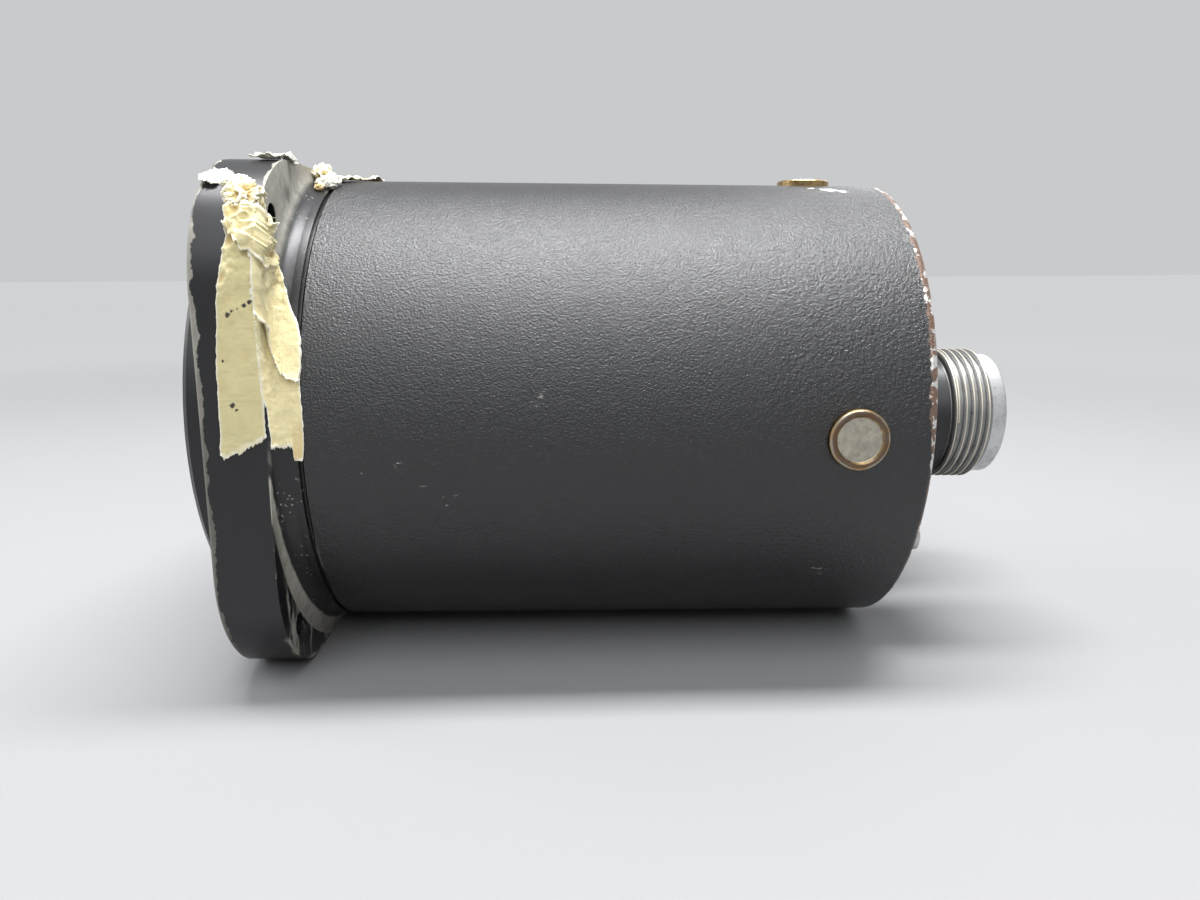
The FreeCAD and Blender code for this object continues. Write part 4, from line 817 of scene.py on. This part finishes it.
def flange_plate(shape, across):
    """Square flange of a receptacle, behind the rear cover."""
    inner = settings().receptacle.neck_radius - 0.1 * MM
    back = COVER_BACK - COVER_GAP
    front = back - PLATE_THICK
    steps = 96
    rings = [[], [], [], []]
    for step in range(steps):
        angle = 2 * math.pi * (step + 0.5) / steps
        reach = rounded_reach(angle, PLATE_HALF, PLATE_CORNER)
        section = ((reach, front), (reach, back), (inner, back), (inner, front))
        for ring, (radius, along) in zip(rings, section):
            ring.append(shape.verts.new((across + radius * math.cos(angle), along, radius * math.sin(angle))))
    for first, second in zip(rings, rings[1:] + rings[:1]):
        for step in range(steps):
            after = (step + 1) % steps
            shape.faces.new((first[step], first[after], second[after], second[step]))


class TACH_OT_dial(bpy.types.Operator):
    """Mark the dial and finish the pointers and the glass"""
    bl_idname = "tachometer.dial"
    bl_label = "Dial"

    def execute(self, context):
        sizes = settings().dial
        black = moulded("dial_black", (0.008, 0.008, 0.009), 0.6, 0.12 * MM, 0.015 * MM)
        paint = moulded("marking_paint", settings().colours.marking, 0.55, 0.15 * MM, 0.01 * MM)
        dress(black, "dial", "dial_mask_ring")
        dress(paint, "front_pointer")
        dress(moulded("second_pointer_paint", (0.78, 0.50, 0.10), 0.5, 0.15 * MM, 0.01 * MM), "rear_pointer")
        dress(clear_glass(), "cover_glass")
        dress(brushed("ring_steel", (0.07, 0.07, 0.075), 0.5, 0.6), "glass_retaining_ring")
        steps = sizes.numerals - 1
        major = tick_tree(paint, "major_ticks", sizes.numerals, 4.2 * MM, 0.8 * MM, MARK)
        minor = tick_tree(paint, "minor_ticks", steps * sizes.parts + 1, 2.4 * MM, 0.4 * MM, MARK)
        for name, tree in (("dial_major_ticks", major), ("dial_minor_ticks", minor)):
            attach(baked_tree(name, tree, paint), "case")
        for index in range(sizes.numerals):
            angle = -sizes.sweep / 2 + sizes.sweep * index / steps
            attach(numeral(str(index * sizes.step), angle, MARK, paint), "case")
        return {"FINISHED"}


def numeral(text, angle, thick, material):
    """One number of the scale, upright, as a mesh on the dial."""
    sizes = settings().dial
    curve = bpy.data.curves.new("numeral", "FONT")
    curve.body = text
    curve.size = sizes.numeral_height * 1.35
    curve.align_x = "CENTER"
    curve.align_y = "CENTER"
    curve.extrude = thick / 2
    curve.resolution_u = 4
    carrier = placed("numeral_carrier", curve)
    bpy.context.view_layer.update()
    mesh = bpy.data.meshes.new_from_object(carrier.evaluated_get(bpy.context.evaluated_depsgraph_get()))
    bpy.data.objects.remove(carrier)
    radius = sizes.numeral_radius
    middle = (math.sin(angle) * radius, DIAL_FRONT - thick / 2, math.cos(angle) * radius)
    mesh.transform(Matrix.Translation(middle) @ Matrix.Rotation(math.pi / 2, 4, "X"))
    mesh.materials.clear()
    mesh.materials.append(material)
    piece = placed(f"dial_number_{text}", mesh)
    return piece


class TACH_OT_movement(bpy.types.Operator):
    """Finish the gears, elements, magnets, motors and frame inside the case"""
    bl_idname = "tachometer.movement"
    bl_label = "Movement"

    def execute(self, context):
        colours = settings().colours
        dress(brushed("gear_brass", colours.brass, 0.3), "inner_shaft_gear", "outer_shaft_gear",
              "pivot_bushes", "front_pillars", "middle_pillars", "rear_pillars", "hairspring_studs",
              *both_sides("spindle_gear"))
        dress(brushed("shaft_steel", colours.steel, 0.22), "inner_pointer_shaft", "outer_pointer_shaft",
              "motor_bearings", *both_sides("spindle", "rotor_shaft"))
        dress(brushed("spring_bronze", (0.58, 0.36, 0.16), 0.3), *both_sides("hairspring"))
        dress(brushed("plate_metal", (0.62, 0.62, 0.62), 0.38, lines=(1, 1, 10)),
              "front_plate", "middle_plate", "motor_plate", "rear_plate")
        dress(brushed("disc_aluminium", (0.72, 0.72, 0.73), 0.3), *both_sides("drag_disc"))
        dress(brushed("keeper_steel", (0.36, 0.36, 0.37), 0.42),
              *both_sides("magnet_carrier", "motor_housing"))
        dress(moulded("magnet_iron", (0.08, 0.08, 0.085), 0.6, 0.5 * MM, 0.06 * MM),
              *both_sides("magnets", "rotor_core"))
        dress(brushed("lamination_steel", (0.24, 0.24, 0.25), 0.5, lines=(1, 30, 1)), "stator_cores")
        dress(brushed("winding_copper", colours.copper, 0.35, 0.85, lines=(1, 9, 1)), "stator_coils")
        dress(moulded("lead_cloth", (0.62, 0.57, 0.45), 0.85, 0.25 * MM, 0.08 * MM), "motor_leads")
        return {"FINISHED"}


def paper_piece(name, build, material):
    """Thin crumpled paper from a function that fills a bmesh with its outer face."""
    mesh = bpy.data.meshes.new(name)
    shape = bmesh.new()
    build(shape, shape.verts.layers.float.new("torn"), shape.verts.layers.float.new("crease_shade_and_stain"),
          shape.verts.layers.float.new("dull"))
    bmesh.ops.recalc_face_normals(shape, faces=shape.faces)
    shape.to_mesh(mesh)
    shape.free()
    if sum(polygon.normal.dot(polygon.center) for polygon in mesh.polygons) < 0:
        mesh.flip_normals()
    mesh.shade_smooth()
    mesh.materials.append(material)
    piece = placed(name, mesh)
    solid = piece.modifiers.new("thickness", "SOLIDIFY")
    solid.thickness = PAPER
    solid.offset = -1
    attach(piece, "case")
    return piece


def fill_grid(shape, grid):
    for first, second in zip(grid, grid[1:]):
        for column in range(len(first) - 1):
            shape.faces.new((first[column], first[column + 1], second[column + 1], second[column]))


def strip_builder(sides, foot, head, heft, ply=0.0, dull=0.0, white=0.0, curl=0.0,
                  browned=((0, 0.0), (1, 0.0)), rows=200, columns=52):
    """Strip of tape between two sides, each (angle, travel), with a torn foot and head given across it."""
    def build(shape, torn, crease_shade_and_stain, dulled):
        grid = []
        for row in range(rows + 1):
            share, line = row / rows, []
            for column in range(columns + 1):
                across = column / columns
                degrees = between(foot, across) * (1 - share) + between(head, across) * share
                low, high = between(sides[0], degrees), between(sides[1], degrees)
                travel = (low + (high - low) * across) * MM
                margin = min(share, 1 - share) * rows
                place = flange_point(math.radians(degrees), travel, 0.0)
                rag = turbulence(place, 0.9 * MM) + 0.6 * turbulence(place * 1.7, 0.35 * MM)
                degrees += rag * max(0.0, 1 - margin / 7) * 0.9
                brink = min(across, 1 - across) * columns
                travel += turbulence(place, 1.3 * MM) * max(0.0, 1 - brink / 4) * 0.16 * MM
                rise = between(heft, degrees)
                waves = turbulence(place, 2.4 * MM, 5)
                ridge = abs(turbulence(place + Vector((0.1, 0.2, 0.3)), 3.1 * MM, 3))
                lift = ply * MM + 0.16 * MM + 0.05 * MM * abs(turbulence(place, 0.7 * MM))
                lift += rise * MM * max(0.0, 0.5 + waves * 0.7 - ridge * 1.0)
                lift += between(((0, 0.22), (5, 0.0)), margin) * MM * abs(rag)
                lift += curl * MM * max(0.0, 1 - row / 22) ** 2
                vert = shape.verts.new(flange_point(math.radians(degrees), travel, lift))
                vert[torn] = max(white, 1 - margin / 5) * (0.6 + 0.4 * rag) + 0.8 * max(0.0, 1 - brink / 2.2)
                # Painted shade in the valleys of the crumpled strip, and stain where the strip is browned.
                vert[crease_shade_and_stain] = max(max(0.0, min(1.0, ridge * 2.4 - 0.8)) * min(1.0, rise * 1.6),
                                 between(browned, degrees) * (across > 0.7))
                vert[dulled] = dull
                line.append(vert)
            grid.append(line)
        fill_grid(shape, grid)
    return build


def wad_builder(angle, travel, radii, lift, seed, torn_share=0.2, brown=0.0, octaves=3, steps=72):
    """Ball of crumpled tape that sits on the flange at one place; radii along, around and off the surface."""
    def build(shape, torn, crease_shade_and_stain, dulled):
        turn = math.radians(angle)
        centre = flange_point(turn, travel * MM, lift * MM)
        out = (flange_point(turn, travel * MM, 2 * MM) - flange_point(turn, travel * MM, 0.0)).normalized()
        around = out.cross(Vector((0, 1, 0))).normalized()
        along = around.cross(out)
        grid = []
        for row in range(steps + 1):
            rise = math.pi * row / steps
            line = []
            for column in range(2 * steps + 1):
                spin = math.pi * (column % (2 * steps)) / steps
                wide = math.sin(rise)
                way = Vector((wide * math.cos(spin), wide * math.sin(spin), math.cos(rise)))
                shift = way * 1.1 + Vector((seed, seed * 2, 0))
                ridge = abs(noise.fractal(shift * 1.25, 1.0, 2.2, octaves))
                crisp = abs(noise.noise(shift * 4.4)) * (octaves > 2)
                reach = 1.05 - 0.95 * ridge - 0.11 * crisp
                spot = centre + MM * reach * (way.x * radii[0] * along + way.y * radii[1] * around
                                              + way.z * radii[2] * out)
                vert = shape.verts.new(spot)
                vert[torn] = max(0.0, min(1.0, (torn_share - ridge) * 4))
                # Painted shade in the dents of the wad, and its brown stain.
                vert[crease_shade_and_stain] = max(brown, min(1.0, ridge * 3.2 - 0.8))
                vert[dulled] = 0.0
                line.append(vert)
            grid.append(line)
        fill_grid(shape, grid)
        bmesh.ops.remove_doubles(shape, verts=shape.verts, dist=1e-6)
    return build


class TACH_OT_tape(bpy.types.Operator):
    """Lay what is left of the masking tape over the flange"""
    bl_idname = "tachometer.tape"
    bl_label = "Tape"

    def execute(self, context):
        paper = tape_paper()
        for name, build in TAPE_PIECES:
            piece = paper_piece(name, build, paper)
            if name == "tape_strip":
                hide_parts("tape_remnants")
        return {"FINISHED"}


LAP_SIDE = ((-5, 4.7), (8, 5.2), (12, 5.6), (21, 7.6), (24, 8.1), (32, 8.7), (38, 7.6), (41, 4.5), (44, 1.5))
TAPE_PIECES = (
    ("tape_strip", strip_builder(
        (((-4, -7.0), (8, -6.4), (18, -5.9), (26, -5.3), (31, -4.7), (36, -3.9), (39, -4.0), (46, -5.0)),
         ((-4, -0.5), (6, -0.3), (10, 0.0), (22, 0.2), (32, 0.8), (46, 1.2))),
        ((0, -3.2), (0.15, -3.6), (0.35, -2.4), (1, 0.6)), ((0, 46), (1, 45)),
        ((-5, 0.1), (12, 0.12), (22, 0.25), (30, 0.6), (36, 1.3), (47, 1.3)), dull=1.0)),
    ("tape_lap", strip_builder(
        (((-5, 0.1), (6, 0.0), (10, -0.3), (24, -0.5), (44, -0.8)), LAP_SIDE),
        ((0, -1.6), (0.5, -1.9), (0.66, -1.0), (0.74, -4.4), (1, -4.8)), ((0, 44), (1, 43)),
        ((-5, 0.1), (10, 0.14), (24, 0.25), (32, 0.6), (44, 1.0)), browned=((-4, 0.9), (0, 0.5), (5, 0.0)))),
    ("tape_flap", strip_builder(
        (((10, 0.5), (24, -0.6), (44, -0.8)), LAP_SIDE),
        ((0, 23.5), (0.2, 21), (0.3, 17), (0.42, 14.5), (0.6, 13.2), (1, 12)), ((0, 40), (1, 41)),
        ((10, 0.1), (24, 0.16), (30, 0.4), (34, 0.9), (44, 1.2)), ply=0.42, curl=0.45)),
    ("tape_curl", strip_builder(
        (((30, -3.9), (40, -4.1)), ((30, -0.2), (34, 2.0), (40, 2.6))),
        ((0, 37), (0.4, 33.5), (1, 31.5)), ((0, 41), (1, 40)), ((30, 1.0), (44, 1.4)), ply=0.9, rows=90)),
    ("tape_wad_corner", wad_builder(43.5, -2.2, (3.0, 2.6, 1.5), 0.7, 3.1)),
    ("tape_wad_upper", wad_builder(46.0, -3.6, (2.4, 1.9, 1.1), 0.5, 8.4, 0.35)),
    ("tape_wad_inner", wad_builder(41.0, 1.4, (1.9, 2.6, 1.3), 0.6, 5.7)),
    ("tape_wad_lower", wad_builder(38.2, 3.6, (2.4, 2.2, 1.0), 0.5, 11.9)),
    ("tape_scrap_front", strip_builder(
        (((46, -9.2), (49, -9.3), (52, -8.0)), ((46, -5.6), (49, -4.6), (52, -6.0))),
        ((0, 47.0), (0.5, 46.4), (1, 47.2)), ((0, 50.2), (0.5, 51.4), (1, 50.0)),
        ((46, 0.9), (52, 0.9)), white=1.3, rows=70)),
    ("tape_scrap_top", strip_builder(
        (((56, -4.6), (62, -3.6), (66, -1.0)), ((56, -1.2), (62, 0.3), (66, 0.4))),
        ((0, 57.0), (1, 58.0)), ((0, 63.4), (1, 65.0)), ((56, 1.5), (66, 1.3)), white=1.2, rows=70)),
    ("tape_wad_neck", wad_builder(77.0, 2.2, (2.0, 2.6, 1.8), 1.1, 14.3, octaves=2)),
    ("tape_wad_groove", wad_builder(73.5, 5.0, (1.9, 2.4, 1.2), 0.6, 17.2, 0.5, octaves=2)),
    ("tape_wad_bit", wad_builder(69.0, 5.2, (0.8, 0.9, 0.6), 0.4, 21.3, 0.0, 0.8, 2, 36)),
    ("tape_tail", strip_builder(
        (((68, 3.6), (76, 3.0), (84, 3.2), (92, 3.6)), ((68, 5.6), (76, 6.6), (84, 9.4), (92, 10.0))),
        ((0, 71), (0.5, 72), (0.75, 82), (1, 84)), ((0, 88), (1, 91)), ((68, 1.2), (80, 1.1), (92, 0.6)),
        ply=0.1, white=0.3, browned=((84, 0.0), (87, 0.7)), rows=120)),
)


class TACH_PT_panel(bpy.types.Panel):
    """Lists the steps that finish the dual tachometer"""
    bl_idname = "TACH_PT_panel"
    bl_label = "Dual tachometer"
    bl_space_type = "VIEW_3D"
    bl_region_type = "UI"
    bl_category = "Tachometer"

    def draw(self, context):
        for operator in OPERATORS:
            self.layout.operator(operator.bl_idname, text=operator.bl_label)


GROUPS = (FlangeSizes, ReceptacleSizes, DialSizes, FinishColours, TachometerSettings)
OPERATORS = (TACH_OT_stage, TACH_OT_case, TACH_OT_receptacles, TACH_OT_dial, TACH_OT_movement, TACH_OT_tape)


def register():
    for item in (*GROUPS, *OPERATORS, TACH_PT_panel):
        bpy.utils.register_class(item)
    bpy.types.Scene.tachometer = PointerProperty(type=TachometerSettings)


def unregister():
    del bpy.types.Scene.tachometer
    for item in reversed((*GROUPS, *OPERATORS, TACH_PT_panel)):
        bpy.utils.unregister_class(item)


def main():
    register()
    for operator in OPERATORS:
        family, name = operator.bl_idname.split(".")
        getattr(getattr(bpy.ops, family), name)()


if __name__ == "__main__":
    main()
